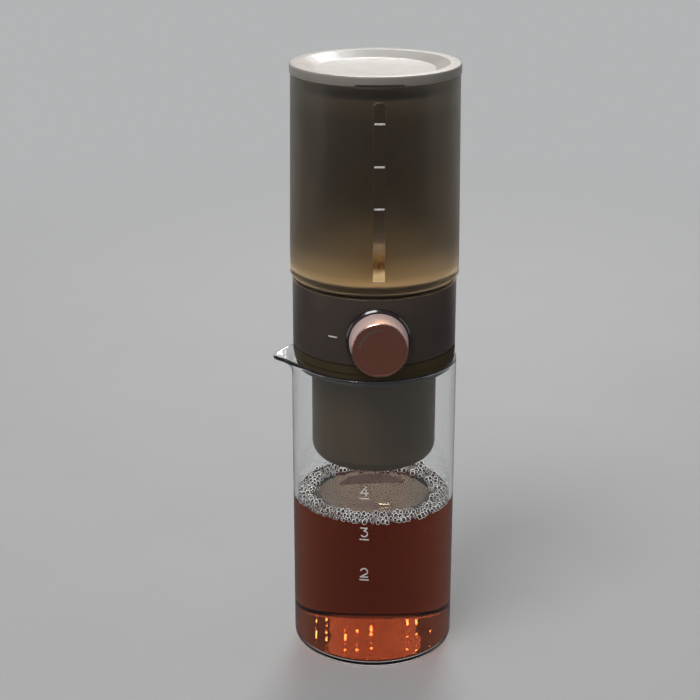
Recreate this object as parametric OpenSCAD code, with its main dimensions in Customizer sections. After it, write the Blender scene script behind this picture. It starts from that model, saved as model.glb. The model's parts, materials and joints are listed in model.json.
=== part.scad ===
// Cold brew drip coffee maker.
// A frosted water tank stands on a ring-shaped valve housing with a front knob, the housing stands on a
// filter cup, and the cup hangs by its flange in the mouth of a glass carafe.
// Millimetres. The origin is the centre of the carafe's underside, +Z is up, the knob faces -Y and the
// spout points towards -X.

/* [Carafe] */
// Outer diameter of the glass body
carafe_d = 93; // [88:0.5:98]
// Height of the glass rim above the table
carafe_h = 178; // [168:0.5:192]
// Thickness of the glass wall
glass_wall = 2.2; // [1.8:0.1:2.8]
// Thickness of the glass base
glass_base = 3.5; // [2.5:0.1:6]
// Radius of the rounded foot
foot_r = 8; // [5:0.5:11]
// How far the spout reaches past the wall
spout_reach = 10.5; // [8:0.5:13]
// Height of the spout on the wall
spout_h = 11; // [9:0.5:15]
// Width of the spout where it leaves the wall
spout_w = 52; // [40:0.5:58]
// How far the spout's tip dips below the rim
spout_dip = 1.5; // [0:0.1:2.5]
// Height of the coffee's surface above the table
coffee_level = 92; // [70:0.5:108]

/* [Printed marks] */
// Height of the numerals on the glass
numeral_h = 6; // [4:0.1:8]
// Width of the numerals
numeral_w = 4.6; // [3:0.1:6]
// Thickness of a printed line
stroke_w = 0.7; // [0.4:0.05:1]
// Height of the line under the 2 above the table
first_mark_z = 58; // [40:0.5:66]
// Distance from one numbered line to the next
mark_pitch = 25.2; // [18:0.1:27]
// Angle of the numerals to the left of the knob
numeral_turn = 9; // [0:0.5:20]
// Thickness of the printed ink
ink_t = 0.15; // [0.1:0.01:0.3]

/* [Filter cup] */
// Outer diameter of the cup
cup_d = 70.4; // [62:0.2:74]
// Height of the cup below its flange
cup_h = 64.3; // [54:0.1:68]
// Thickness of the cup's wall
cup_wall = 2; // [1.6:0.1:2.6]
// Radius of the cup's rounded lower edge
cup_corner_r = 9; // [6:0.5:11]
// Height of the flange's outer edge
flange_h = 4.2; // [3.4:0.1:6]
// Thickness of the flange's plate
flange_t = 1.7; // [1.4:0.1:2.2]
// Height of the step under the flange that stands on the glass
step_h = 3.5; // [2:0.1:6]
// How far that step is set back from the flange's edge
step_in = 0.6; // [0.3:0.1:1]
// Depth of the plug that enters the glass
plug_h = 4.2; // [3:0.1:7]
// Radial thickness of the silicone ring round the plug
seal_t = 3; // [2:0.1:3.6]
// Height of the ledge for the spreader above the cup's underside
ledge_h = 32.8; // [26:0.1:40]
// Width of that ledge
ledge_w = 0.8; // [0.6:0.1:1.4]
// Diameter of a drain hole in the cup's floor
drain_d = 3; // [2:0.1:4]
// Diameter of the metal filter
mesh_d = 50; // [44:0.5:51]
// Thickness of the metal filter
mesh_t = 0.4; // [0.3:0.1:0.8]
// Width of the ring that holds the filter down
mesh_frame_w = 4; // [3:0.1:6]
// Height of that ring
mesh_frame_h = 3; // [2:0.1:5]
// Thickness of the spreader disc
spreader_t = 1.6; // [1.2:0.1:2.4]
// Height of the spreader's middle dome
spreader_dome_h = 4; // [2:0.1:6]

/* [Valve housing] */
// How far the housing lies inside the line of the glass
housing_step = 0.9; // [0:0.1:1.8]
// Height of the housing ring
housing_h = 37.7; // [36:0.1:42]
// Thickness of the housing's wall
housing_wall = 2.2; // [1.8:0.1:2.8]
// Radius of the housing's rounded lower edge
housing_edge_r = 1.4; // [0.6:0.1:1.8]
// Depth of the recess in which the tank sits
seat_depth = 4; // [3:0.1:5]
// Thickness of the deck under the tank
deck_t = 2.4; // [2:0.1:3]
// Thickness of the plate that closes the housing from below
base_t = 2.2; // [1.8:0.1:3]
// Height of that plate's upstand inside the housing
base_upstand = 4; // [2:0.1:6]
// Diameter of a screw's shank
screw_d = 3; // [2.5:0.1:3.5]
// Length of a base plate screw
base_screw_l = 12; // [8:0.5:16]
// Length of a valve screw
valve_screw_l = 5.5; // [4.5:0.1:6]

/* [Valve] */
// Diameter of the valve's upright body
valve_d = 20; // [17:0.5:24]
// Diameter of the valve's cross barrel
barrel_d = 14; // [12:0.5:16]
// Diameter of the spindle
spindle_d = 6; // [5:0.1:7]
// Diameter of the water passage through the valve
passage_d = 3; // [2:0.1:3.6]
// Diameter of the tank's outlet tube
outlet_d = 12; // [10:0.5:13]
// Length of the drip nozzle below the valve
nozzle_l = 11; // [9.5:0.1:12]
// Diameter of the nozzle's tip
nozzle_tip_d = 3.6; // [2.6:0.1:5]
// Thickness of an O-ring
o_ring_t = 1; // [0.8:0.05:1.2]

/* [Knob] */
// Diameter of the knob
knob_d = 30; // [26:0.5:32]
// Depth of the knob from its rear edge to its face
knob_l = 14; // [11:0.5:18]
// Height of the knob's axis above the housing's lower edge
knob_rise = 15.2; // [14.5:0.1:15.8]
// Wall thickness of the metal cap
cap_wall = 1.2; // [0.8:0.1:1.8]
// How much the knob's rear edge stands out past its face
knob_flare = 0.9; // [0:0.1:1.4]
// Bevel round the knob's face
cap_bevel = 0.8; // [0.4:0.1:1.2]
// Diameter of the dark collar behind the knob
collar_d = 35; // [32:0.5:37]
// How far the collar stands out from the housing
collar_l = 1.9; // [1:0.1:3]
// Length of the short white mark beside the knob
index_l = 5.2; // [3:0.1:7]
// Angle of that mark to the left of the knob
index_turn = 32; // [28:0.5:40]

/* [Water tank] */
// Height of the dark gap between housing and tank
tank_reveal = 2.8; // [2:0.1:4]
// Height of the tank above that gap
tank_h = 110.1; // [95:0.1:130]
// How far the tank's foot stands outside the housing
tank_overhang = 1.3; // [0.6:0.1:2]
// How much narrower the tank's mouth is than its foot, on the radius
tank_draft = 1.4; // [0:0.1:2]
// Thickness of the tank's wall
tank_wall = 2; // [1.6:0.1:2.6]
// Thickness of the tank's floor
tank_floor = 2.5; // [2:0.1:3.5]
// Radius of the tank's rounded foot
tank_foot_r = 1.2; // [0.6:0.1:1.8]
// Width of the clear window strip
window_w = 6.4; // [4:0.1:9]
// Height of the window's lower end above the tank's foot
window_low = 7.2; // [5:0.1:12]
// Height of the window strip
window_h = 95.2; // [88:0.1:96]
// Height of the top tick below the window's upper end
tick_drop = 10.8; // [6:0.1:16]
// Distance between the ticks on the window
tick_pitch = 22.3; // [16:0.1:24]
// Length of a tick
tick_l = 5.4; // [3:0.1:6]
// Height of a tick
tick_h = 1; // [0.6:0.1:1.6]
// Diameter of the strainer over the outlet
strainer_d = 16; // [14.5:0.5:22]
// Height of the strainer
strainer_h = 4.5; // [3.5:0.1:8]

/* [Lid] */
// Height of the lid's edge
lid_h = 5.2; // [4.6:0.1:7]
// How far the lid's edge stands past the tank's mouth
lid_overhang = 0.5; // [0.2:0.1:1.5]
// Width of the flat rim on top
lid_rim_w = 6.2; // [4:0.1:9]
// Width of the slope from the rim down to the dish
lid_slope_w = 7.6; // [4:0.1:10]
// Depth of the dish
lid_dish = 3.2; // [2:0.1:3.4]
// Thickness of the lid's walls
lid_wall = 1.8; // [1.4:0.1:2.2]
// Depth of the plug that enters the tank
lid_plug_h = 7.8; // [6:0.1:11]
// Height of the silicone ring on the plug
lid_seal_h = 3; // [2:0.1:4]
// Radial thickness of that ring
lid_seal_t = 1.6; // [1.2:0.1:2.2]
// Width of the thumb notch under the lid's edge
thumb_w = 26; // [18:0.5:34]
// Height of the thumb notch
thumb_h = 1.2; // [0.6:0.1:1.6]

/* [Hidden] */

$fn = 96;

// Clearances
seat_gap = 0.3;      // between two pieces that lift apart, upright
fit_gap = 0.3;       // between two pieces that lift apart, on the radius
snug_gap = 0.05;     // between two pieces that stay together
run_gap = 0.05;      // between a turning spindle and its bore
cut = 1;             // how far a cutting shape reaches past the surface it cuts

// Heights of the stack
rest_z = carafe_h + seat_gap;
flange_z = rest_z + step_h;
housing_z = flange_z + flange_h + seat_gap;
housing_top = housing_z + housing_h;
tank_z = housing_top + tank_reveal;
tank_top = tank_z + tank_h;
lid_z = tank_top + seat_gap;
lid_top = lid_z + lid_h;

// Radii of the stack
carafe_r = carafe_d / 2;
carafe_in_r = carafe_r - glass_wall;
housing_r = carafe_r - housing_step;
housing_in_r = housing_r - housing_wall;
tank_r = housing_r + tank_overhang;
mouth_r = tank_r - tank_draft;
lid_r = mouth_r + lid_overhang;

// Carafe
rim_round = glass_wall / 2;
foot_in_r = foot_r - glass_wall;
spout_low = carafe_h - spout_h;
spout_half_turn = asin(spout_w / 2 / carafe_r);
spout_tip_r = 2;
spout_tip_h = 1.6;
spout_root = glass_wall + spout_tip_r;
spout_bury = 0.4;
ink_gap = 0.02;
ink_r = carafe_r + ink_gap;
numeral_gap = 1.1;
numerals = ["2", "3", "4"];

// Filter cup
cup_r = cup_d / 2;
cup_in_r = cup_r - cup_wall;
cup_z = flange_z - cup_h;
cup_floor_z = cup_z + cup_wall;
ledge_z = cup_z + ledge_h;
ledge_in_r = cup_in_r - ledge_w;
seal_r = carafe_in_r - fit_gap;
plug_r = seal_r - seal_t - snug_gap;
plug_wall = 2;
seal_lip_h = 0.8;
mesh_r = mesh_d / 2;
cup_corner_in_r = min(cup_corner_r - cup_wall, ledge_in_r - mesh_r - fit_gap);
mesh_z = cup_floor_z;
mesh_frame_z = mesh_z + mesh_t;
drain_pitch = 6;
drain_rings = 3;
mesh_hole_d = 1.4;
mesh_hole_pitch = 4;
mesh_hole_rings = floor((mesh_r - mesh_frame_w - mesh_hole_d) / mesh_hole_pitch);
spreader_r = cup_in_r - fit_gap;
spreader_z = ledge_z + seat_gap;
spreader_hole_d = 1.8;
spreader_hole_pitch = 5;
spreader_dome_r = 7;
spreader_rings = floor((spreader_r - ledge_w - spreader_hole_d) / spreader_hole_pitch);

// Valve housing
deck_top = housing_top - seat_depth;
deck_z = deck_top - deck_t;
recess_r = housing_in_r;
base_r = housing_in_r - fit_gap;
base_z = flange_z + flange_t + seat_gap;
base_top = base_z + base_t;
base_rib = 2;
screw_r = screw_d / 2;
boss_wall = 2.4;
boss_r = screw_r + boss_wall;
boss_place_r = base_r - base_rib - boss_r - fit_gap;
boss_angles = [90, 210, 330];
head_rim = 1.35;
head_r = screw_r + head_rim;
head_h = 1.5;
pan_head_h = 1.8;
drive_d = 1.6;

// Valve. Places along the knob's axis are distances from the stack's middle towards the knob.
knob_z = housing_z + knob_rise;
valve_r = valve_d / 2;
barrel_r = barrel_d / 2;
barrel_neck = 4;
barrel_tail = 2;
barrel_front = valve_r + barrel_neck;
barrel_rear = valve_r + barrel_tail;
spindle_r = spindle_d / 2;
bore_r = spindle_r + run_gap;
passage_r = passage_d / 2;
outlet_r = outlet_d / 2;
outlet_flare = 1;
outlet_in_r = passage_r + outlet_flare;
outlet_reach = 4.4;
outlet_z = deck_z - outlet_reach;
gasket_t = 1.4;
socket_r = outlet_r + fit_gap;
socket_z = outlet_z - seat_gap - gasket_t;
valve_foot = 2;
valve_low = knob_z - barrel_r - valve_foot;
valve_flange_t = 3.6;
valve_screw_place = valve_r + boss_wall + screw_r;
valve_flange_r = valve_screw_place + screw_r + valve_foot;
nozzle_wall = 1.6;
nozzle_r = passage_r + nozzle_wall;
nozzle_spigot_h = 4;
nozzle_tip_r = nozzle_tip_d / 2;
nozzle_bore_r = 0.9;
gland_wall = 1.8;
gland_spigot_r = spindle_r + gland_wall;
gland_spigot_l = 3;
gland_step = 0.4;
gland_head_r = barrel_r - gland_step;
gland_head_l = 3.4;
o_ring_r = o_ring_t / 2;
o_groove_r = spindle_r - o_ring_t + snug_gap;
o_groove_play = 0.3;
o_groove_w = o_ring_t + o_groove_play;
o_ring_inset = 2.2;
o_places = [barrel_front - gland_spigot_l - o_ring_inset, -(barrel_rear - o_ring_inset)];
meter_w = passage_d;
meter_depth = 0.5;
meter_shift = meter_depth - run_gap;
meter_r = spindle_r - meter_depth;
clip_t = 0.8;
clip_gap = 0.5;
clip_place = barrel_rear + clip_gap;
clip_groove_depth = 0.7;
clip_groove_r = spindle_r - clip_groove_depth;
clip_rim = 2;
clip_r = spindle_r + clip_rim;
spindle_end = 1.2;
spindle_tail = clip_place + clip_t + spindle_end;

// Knob
knob_r = knob_d / 2;
collar_r = collar_d / 2;
collar_front = housing_r + collar_l;
collar_bevel = 0.8;
collar_spigot_wall = 4.5;
collar_spigot_r = spindle_r + collar_spigot_wall;
collar_spigot_l = 3.2;
knob_gap = 0.5;
knob_rear = collar_front + knob_gap;
knob_front = knob_rear + knob_l;
hub_r = knob_r - cap_wall - snug_gap;
hub_front = knob_front - cap_wall - snug_gap;
hub_inset = 0.6;
hub_rear = knob_rear + hub_inset;
hub_web = 3;
spindle_front = hub_front - hub_web;
flat_depth = 0.7;
flat_l = spindle_front - hub_rear;
dial_margin = 3.9;
dial_r = knob_r - dial_margin;
dial_w = 1.4;
dial_dot_r = 0.5;
dial_t = 0.12;
dial_angles = [0, 30, 60, 90, 135, 180];
dial_shift = dial_w / 2;

// Water tank
neck_step = 1.2;
neck_r = housing_r - neck_step;
spigot_r = recess_r - fit_gap;
spigot_z = deck_top + seat_gap;
spigot_wall = 3.4;
tank_in_foot_r = tank_r - tank_wall;
tank_in_mouth_r = mouth_r - tank_wall;
tank_floor_z = tank_z + tank_floor;
tank_corner_r = 4;
window_z = tank_z + window_low;
window_round = window_w / 2;
strainer_wall = 0.8;
strainer_slots = 12;
strainer_slot_w = 1.2;
gasket_r = outlet_r - snug_gap;

// Lid
lid_floor_r = lid_r - lid_rim_w - lid_slope_w;
lid_plug_r = tank_in_mouth_r - 3 * fit_gap;
lid_seal_r = tank_in_mouth_r - fit_gap;
lid_plug_stiffening = 0.6;
lid_plug_wall = lid_wall + lid_plug_stiffening;
lid_seal_rise = 1.6;
lid_seal_z = lid_z - lid_plug_h + lid_seal_rise;
lid_edge_round = 0.8;
thumb_depth = 2.4;
thumb_floor_y = sqrt(pow(lid_r - thumb_depth, 2) - pow(thumb_w / 2, 2));

// Colours
glass_tint = [0.86, 0.9, 0.91, 0.35];
ink_white = [0.93, 0.92, 0.9];
coffee_brown = [0.27, 0.06, 0.03];
smoke = [0.22, 0.2, 0.17];
smoke_dark = [0.11, 0.1, 0.1];
frosted = [0.36, 0.33, 0.26];
clear_smoke = [0.3, 0.27, 0.22, 0.6];
rose_gold = [0.78, 0.5, 0.44];
steel = [0.7, 0.7, 0.71];
brass = [0.76, 0.6, 0.3];
silicone = [0.16, 0.16, 0.17];
black = [0.08, 0.08, 0.08];

// Points of an arc about a centre, from one angle to another.
function arc(centre, r, from, to, steps = 6) =
    [for (i = [0:steps]) let (a = from + (to - from) * i / steps)
        [centre[0] + r * cos(a), centre[1] + r * sin(a)]];

// Radius of the tank's outer wall at a height.
function tank_r_at(z) = tank_r - tank_draft * (z - tank_z) / tank_h;

// A plain ring about the vertical axis.
module ring(r_out, r_in, z, h) {
    translate([0, 0, z])
        difference() {
            cylinder(r = r_out, h = h);
            translate([0, 0, -cut])
                cylinder(r = r_in, h = h + 2 * cut);
        }
}

// Holes of one diameter in rings about the middle, six more in each ring than in the one before.
module hole_field(d, pitch, rings, z, h, first = 0) {
    translate([0, 0, z])
        for (k = [first:rings])
            for (i = [0:max(1, 6 * k) - 1])
                rotate([0, 0, i * 360 / max(1, 6 * k)])
                    translate([k * pitch, 0, 0])
                        cylinder(d = d, h = h, $fn = 24);
}

// Turns a shape built along +Z so that +Z becomes the knob's axis, pointing at the front.
module along_knob() {
    translate([0, 0, knob_z])
        rotate([90, 0, 0])
            children();
}

// Turns a flat shape drawn in X and Y into one that stands upright at the front, seen from there.
module upright(depth) {
    rotate([90, 0, 0])
        linear_extrude(height = depth)
            children();
}

// A straight printed line from one point to another.
module line_2d(a, b, w) {
    run = b - a;
    translate(a)
        rotate([0, 0, atan2(run[1], run[0])])
            translate([-w / 2, -w / 2])
                square([norm(run) + w, w]);
}

// A printed line along an arc.
module arc_2d(centre, r, from, to, w) {
    polygon(concat(arc(centre, r + w / 2, from, to, 12), arc(centre, r - w / 2, to, from, 12)));
}

// A printed numeral, centred on X, standing on Y = 0.
module numeral_2d(n) {
    w = stroke_w;
    top = numeral_h - w / 2;
    half = numeral_w / 2 - w / 2;
    if (n == "2") {
        end = [half * cos(-35), top - half + half * sin(-35)];
        arc_2d([0, top - half], half, 170, -35, w);
        line_2d(end, [-half, w / 2], w);
        line_2d([-half, w / 2], [half, w / 2], w);
    }
    if (n == "3") {
        bowl = numeral_h * 0.3;
        line_2d([-half, top], [half * 0.8, top], w);
        line_2d([half * 0.8, top], [0, w / 2 + 2 * bowl], w);
        arc_2d([0, w / 2 + bowl], bowl, 90, -150, w);
    }
    if (n == "4") {
        bar = numeral_h * 0.3;
        line_2d([half * 0.5, top], [-half, bar], w);
        line_2d([-half, bar], [half, bar], w);
        line_2d([half * 0.5, w / 2], [half * 0.5, numeral_h * 0.62], w);
    }
}

// The spout as a solid wedge that leans out of the wall to a rounded tip, set in by a thickness.
module spout_wedge(inset, reach_up) {
    tip_low = carafe_h - spout_dip - spout_tip_h;
    hull() {
        translate([-carafe_r + spout_root, 0, spout_low + 2 * inset])
            cylinder(r = spout_tip_r, h = spout_h - 2 * inset + reach_up, $fn = 32);
        for (side = [-1, 1])
            rotate([0, 0, side * spout_half_turn])
                translate([-carafe_r + spout_tip_r + spout_bury + inset, 0, carafe_h - spout_tip_h])
                    cylinder(r = spout_tip_r, h = spout_tip_h + reach_up, $fn = 32);
        translate([-carafe_r - spout_reach + spout_tip_r + inset, 0, tip_low + inset])
            cylinder(r = spout_tip_r, h = spout_tip_h + reach_up - inset, $fn = 32);
    }
}

module glass_carafe() color(glass_tint) {
    wall = concat(
        [[0, 0]],
        arc([carafe_r - foot_r, foot_r], foot_r, -90, 0),
        arc([carafe_r - rim_round, carafe_h - rim_round], rim_round, 0, 180),
        arc([carafe_in_r - foot_in_r, glass_base + foot_in_r], foot_in_r, 0, -90),
        [[0, glass_base]]);
    difference() {
        union() {
            rotate_extrude()
                polygon(wall);
            difference() {
                spout_wedge(0, 0);
                cylinder(r = carafe_in_r, h = carafe_h + cut);
            }
        }
        spout_wedge(glass_wall, spout_dip + cut);
    }
}

module carafe_scale() color(ink_white)
    for (i = [0:len(numerals) - 1])
        translate([0, 0, first_mark_z + i * mark_pitch])
            rotate([0, 0, -numeral_turn])
                intersection() {
                    ring(ink_r + ink_t, ink_r, -cut, numeral_h + numeral_gap + 2 * cut);
                    upright(2 * carafe_r)
                        union() {
                            translate([-numeral_w / 2 - stroke_w / 2, 0])
                                square([numeral_w + stroke_w, stroke_w]);
                            translate([0, stroke_w + numeral_gap])
                                numeral_2d(numerals[i]);
                        }
                }

module coffee() color(coffee_brown) {
    r = carafe_in_r - snug_gap;
    low = glass_base + snug_gap;
    round = foot_in_r;
    rotate_extrude()
        polygon(concat(
            [[0, low]],
            arc([r - round, low + round], round, -90, 0),
            [[r, coffee_level], [0, coffee_level]]));
}

module filter_cup() color(smoke) {
    shell = concat(
        [[0, cup_z]],
        arc([cup_r - cup_corner_r, cup_z + cup_corner_r], cup_corner_r, -90, 0),
        [
            [cup_r, flange_z],
            [plug_r - plug_wall, flange_z],
            [plug_r - plug_wall, rest_z - plug_h],
            [plug_r, rest_z - plug_h],
            [plug_r, rest_z],
            [housing_r - step_in, rest_z],
            [housing_r - step_in, flange_z],
            [housing_r, flange_z],
            [housing_r, flange_z + flange_h],
            [housing_in_r, flange_z + flange_h],
            [housing_in_r, flange_z + flange_t],
            [cup_in_r, flange_z + flange_t],
            [cup_in_r, ledge_z],
            [ledge_in_r, ledge_z],
        ],
        arc([ledge_in_r - cup_corner_in_r, cup_floor_z + cup_corner_in_r], cup_corner_in_r, 0, -90),
        [[0, cup_floor_z]]);
    difference() {
        rotate_extrude()
            polygon(shell);
        hole_field(drain_d, drain_pitch, drain_rings, cup_z - cut, cup_wall + 2 * cut);
    }
}

module cup_seal() color(silicone)
    union() {
        ring(seal_r - seal_lip_h, plug_r + snug_gap, rest_z - plug_h, plug_h - snug_gap);
        ring(seal_r, plug_r + snug_gap, rest_z - plug_h + seal_lip_h, seal_lip_h);
        ring(seal_r, plug_r + snug_gap, rest_z - seal_lip_h - snug_gap, seal_lip_h);
    }

module filter_mesh() color(steel)
    difference() {
        translate([0, 0, mesh_z])
            cylinder(r = mesh_r, h = mesh_t);
        hole_field(mesh_hole_d, mesh_hole_pitch, mesh_hole_rings, mesh_z - cut, mesh_t + 2 * cut);
    }

module mesh_frame() color(black)
    ring(mesh_r, mesh_r - mesh_frame_w, mesh_frame_z, mesh_frame_h);

module spreader_disc() color(smoke)
    difference() {
        rotate_extrude()
            polygon([
                [0, spreader_z],
                [spreader_r, spreader_z],
                [spreader_r, spreader_z + spreader_t],
                [spreader_dome_r, spreader_z + spreader_t],
                [spreader_dome_r / 2, spreader_z + spreader_t + spreader_dome_h * 0.75],
                [0, spreader_z + spreader_t + spreader_dome_h],
            ]);
        hole_field(spreader_hole_d, spreader_hole_pitch, spreader_rings, spreader_z - cut,
            spreader_t + 2 * cut, 2);
    }

module valve_housing() color(smoke_dark)
    difference() {
        union() {
            rotate_extrude()
                polygon(concat(
                    [[housing_in_r, housing_z]],
                    arc([housing_r - housing_edge_r, housing_z + housing_edge_r], housing_edge_r, -90, 0),
                    [
                        [housing_r, housing_top],
                        [recess_r, housing_top],
                        [recess_r, deck_top],
                        [0, deck_top],
                        [0, deck_z],
                        [housing_in_r, deck_z],
                    ]));
            for (a = boss_angles)
                rotate([0, 0, a])
                    translate([boss_place_r, 0, base_top])
                        cylinder(r = boss_r, h = deck_z - base_top + snug_gap);
        }
        translate([0, 0, deck_z - cut])
            cylinder(r = socket_r, h = deck_t + 2 * cut);
        for (a = boss_angles)
            rotate([0, 0, a])
                translate([boss_place_r, 0, base_top - cut])
                    cylinder(r = screw_r + snug_gap, h = base_screw_l + cut);
        for (side = [-1, 1])
            translate([side * valve_screw_place, 0, deck_z - cut])
                cylinder(r = screw_r + snug_gap, h = deck_t + 2 * cut);
        along_knob()
            cylinder(r = collar_spigot_r + snug_gap, h = housing_r + cut);
    }

module housing_base() color(smoke_dark)
    difference() {
        union() {
            translate([0, 0, base_z])
                cylinder(r = base_r, h = base_t);
            ring(base_r, base_r - base_rib, base_top, base_upstand);
        }
        translate([0, 0, base_z - cut])
            cylinder(r = nozzle_r + 1, h = base_t + 2 * cut);
        for (a = boss_angles)
            rotate([0, 0, a])
                translate([boss_place_r, 0, base_z]) {
                    translate([0, 0, -cut])
                        cylinder(r = screw_r + snug_gap, h = base_t + 2 * cut);
                    translate([0, 0, -snug_gap])
                        cylinder(r1 = head_r + 2 * snug_gap, r2 = screw_r + snug_gap,
                            h = head_h + snug_gap);
                }
    }

module housing_screws() color(steel)
    for (a = boss_angles)
        rotate([0, 0, a])
            translate([boss_place_r, 0, base_z])
                difference() {
                    union() {
                        cylinder(r1 = head_r, r2 = screw_r, h = head_h);
                        cylinder(r = screw_r, h = base_screw_l);
                    }
                    translate([0, 0, -cut])
                        cylinder(d = drive_d, h = head_h + cut, $fn = 6);
                }

module valve_body() color(brass)
    difference() {
        union() {
            translate([0, 0, valve_low])
                cylinder(r = valve_r, h = deck_z - valve_low);
            translate([0, 0, deck_z - valve_flange_t])
                cylinder(r = valve_flange_r, h = valve_flange_t);
            along_knob()
                translate([0, 0, -barrel_rear])
                    cylinder(r = barrel_r, h = barrel_front + barrel_rear);
        }
        translate([0, 0, valve_low - cut])
            cylinder(r = passage_r, h = socket_z - valve_low + 2 * cut);
        translate([0, 0, valve_low - cut])
            cylinder(r = nozzle_r + snug_gap, h = nozzle_spigot_h + cut);
        translate([0, 0, socket_z])
            cylinder(r = socket_r, h = deck_z - socket_z + cut);
        along_knob() {
            translate([0, 0, -barrel_rear - cut])
                cylinder(r = bore_r, h = barrel_front + barrel_rear + 2 * cut);
            translate([0, 0, barrel_front - gland_spigot_l - snug_gap])
                cylinder(r = gland_spigot_r + snug_gap, h = gland_spigot_l + cut);
        }
        for (side = [-1, 1])
            translate([side * valve_screw_place, 0, deck_z - valve_flange_t - cut])
                cylinder(r = screw_r + snug_gap, h = valve_flange_t + 2 * cut);
    }

module valve_screws() color(steel)
    for (side = [-1, 1])
        translate([side * valve_screw_place, 0, deck_top])
            difference() {
                union() {
                    cylinder(r = head_r, h = pan_head_h);
                    translate([0, 0, -valve_screw_l])
                        cylinder(r = screw_r, h = valve_screw_l + snug_gap);
                }
                translate([0, 0, pan_head_h / 2])
                    cylinder(d = drive_d, h = pan_head_h, $fn = 6);
            }

module drip_nozzle() color(steel) {
    low = valve_low - nozzle_l;
    taper_top = valve_low - nozzle_l / 3;
    difference() {
        rotate_extrude()
            polygon([
                [0, low],
                [nozzle_tip_r, low],
                [nozzle_r, taper_top],
                [nozzle_r, valve_low + nozzle_spigot_h - snug_gap],
                [0, valve_low + nozzle_spigot_h - snug_gap],
            ]);
        translate([0, 0, low - cut])
            cylinder(r = nozzle_bore_r, h = nozzle_l + nozzle_spigot_h + 2 * cut);
    }
}

module gland_nut() color(brass)
    along_knob()
        difference() {
            union() {
                translate([0, 0, barrel_front - gland_spigot_l])
                    cylinder(r = gland_spigot_r, h = gland_spigot_l + snug_gap);
                translate([0, 0, barrel_front])
                    cylinder(r = gland_head_r, h = gland_head_l, $fn = 6);
            }
            translate([0, 0, barrel_front - gland_spigot_l - cut])
                cylinder(r = bore_r, h = gland_spigot_l + gland_head_l + 2 * cut);
        }

module knob_collar() color(black)
    difference() {
        along_knob() {
            translate([0, 0, housing_in_r - collar_r])
                cylinder(r = collar_r, h = collar_front - collar_bevel - housing_in_r + collar_r);
            translate([0, 0, collar_front - collar_bevel])
                cylinder(r1 = collar_r, r2 = collar_r - collar_bevel, h = collar_bevel);
        }
        difference() {
            translate([0, 0, knob_z - 2 * collar_r])
                cylinder(r = housing_r + snug_gap, h = 4 * collar_r);
            along_knob()
                translate([0, 0, housing_r - collar_spigot_l])
                    cylinder(r = collar_spigot_r, h = collar_spigot_l + cut);
        }
        along_knob()
            translate([0, 0, housing_in_r - 2 * collar_r])
                cylinder(r = bore_r, h = 4 * collar_r);
    }

module index_mark() color(ink_white)
    rotate([0, 0, -index_turn])
        intersection() {
            ring(housing_r + ink_gap + ink_t, housing_r + ink_gap, knob_z - tick_h, 2 * tick_h);
            upright(2 * housing_r)
                translate([-index_l / 2, knob_z - stroke_w / 2])
                    square([index_l, stroke_w]);
        }

module valve_spindle() color(steel)
    along_knob()
        difference() {
            translate([0, 0, -spindle_tail])
                cylinder(r = spindle_r, h = spindle_tail + spindle_front);
            for (place = o_places)
                spindle_groove(o_groove_r, place, o_groove_w);
            spindle_groove(clip_groove_r, -clip_place - clip_t / 2, clip_t + 2 * snug_gap);
            difference() {
                ring(spindle_r + cut, meter_r / 2, -meter_w / 2, meter_w);
                translate([0, meter_shift, -meter_w])
                    cylinder(r = meter_r, h = 2 * meter_w);
            }
            translate([-spindle_r, spindle_r - flat_depth, hub_rear])
                cube([2 * spindle_r, spindle_r, flat_l + cut]);
        }

// A groove turned into the spindle, centred on a place along it.
module spindle_groove(r, place, w)
    ring(spindle_r + cut, r, place - w / 2, w);

module spindle_o_rings() color(silicone)
    along_knob()
        for (place = o_places)
            translate([0, 0, place])
                rotate_extrude()
                    translate([o_groove_r + o_ring_r, 0])
                        circle(r = o_ring_r - snug_gap / 2, $fn = 24);

module spindle_clip() color(steel)
    along_knob()
        difference() {
            ring(clip_r, clip_groove_r + snug_gap, -clip_place - clip_t, clip_t);
            translate([-clip_groove_r, 0, -clip_place - clip_t - cut])
                cube([2 * clip_groove_r, clip_r + cut, clip_t + 2 * cut]);
        }

module knob_hub() color(black)
    along_knob()
        difference() {
            translate([0, 0, hub_rear])
                cylinder(r = hub_r, h = hub_front - hub_rear);
            difference() {
                translate([0, 0, hub_rear - cut])
                    cylinder(r = bore_r, h = flat_l + snug_gap + cut);
                translate([-spindle_r - cut, spindle_r - flat_depth + snug_gap, hub_rear - 2 * cut])
                    cube([2 * spindle_r + 2 * cut, spindle_r, flat_l + 3 * cut]);
            }
        }

module knob_cap() color(rose_gold)
    along_knob()
        rotate_extrude()
            polygon([
                [knob_r - cap_wall, knob_rear],
                [knob_r + knob_flare, knob_rear],
                [knob_r, knob_front - cap_bevel],
                [knob_r - cap_bevel, knob_front],
                [0, knob_front],
                [0, knob_front - cap_wall],
                [knob_r - cap_wall, knob_front - cap_wall],
            ]);

module dial_marks() color(smoke_dark)
    along_knob()
        translate([0, 0, knob_front + ink_gap]) {
            linear_extrude(height = dial_t)
                intersection() {
                    difference() {
                        circle(r = dial_r + dial_w / 2);
                        translate([dial_shift, 0])
                            circle(r = dial_r - dial_w / 4);
                    }
                    translate([-2 * dial_r, dial_w])
                        square([2 * dial_r, 2 * dial_r]);
                }
            for (a = dial_angles)
                rotate([0, 0, 180 - a])
                    translate([dial_r - 2 * dial_w, 0, 0])
                        cylinder(r = dial_dot_r, h = dial_t, $fn = 24);
        }

// The outline of the window strip, square at the foot and round at the head.
module window_2d(inset)
    union() {
        translate([-window_w / 2 + inset, window_z + inset])
            square([window_w - 2 * inset, window_h - window_round - inset]);
        translate([0, window_z + window_h - window_round])
            circle(r = window_round - inset);
    }

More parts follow.
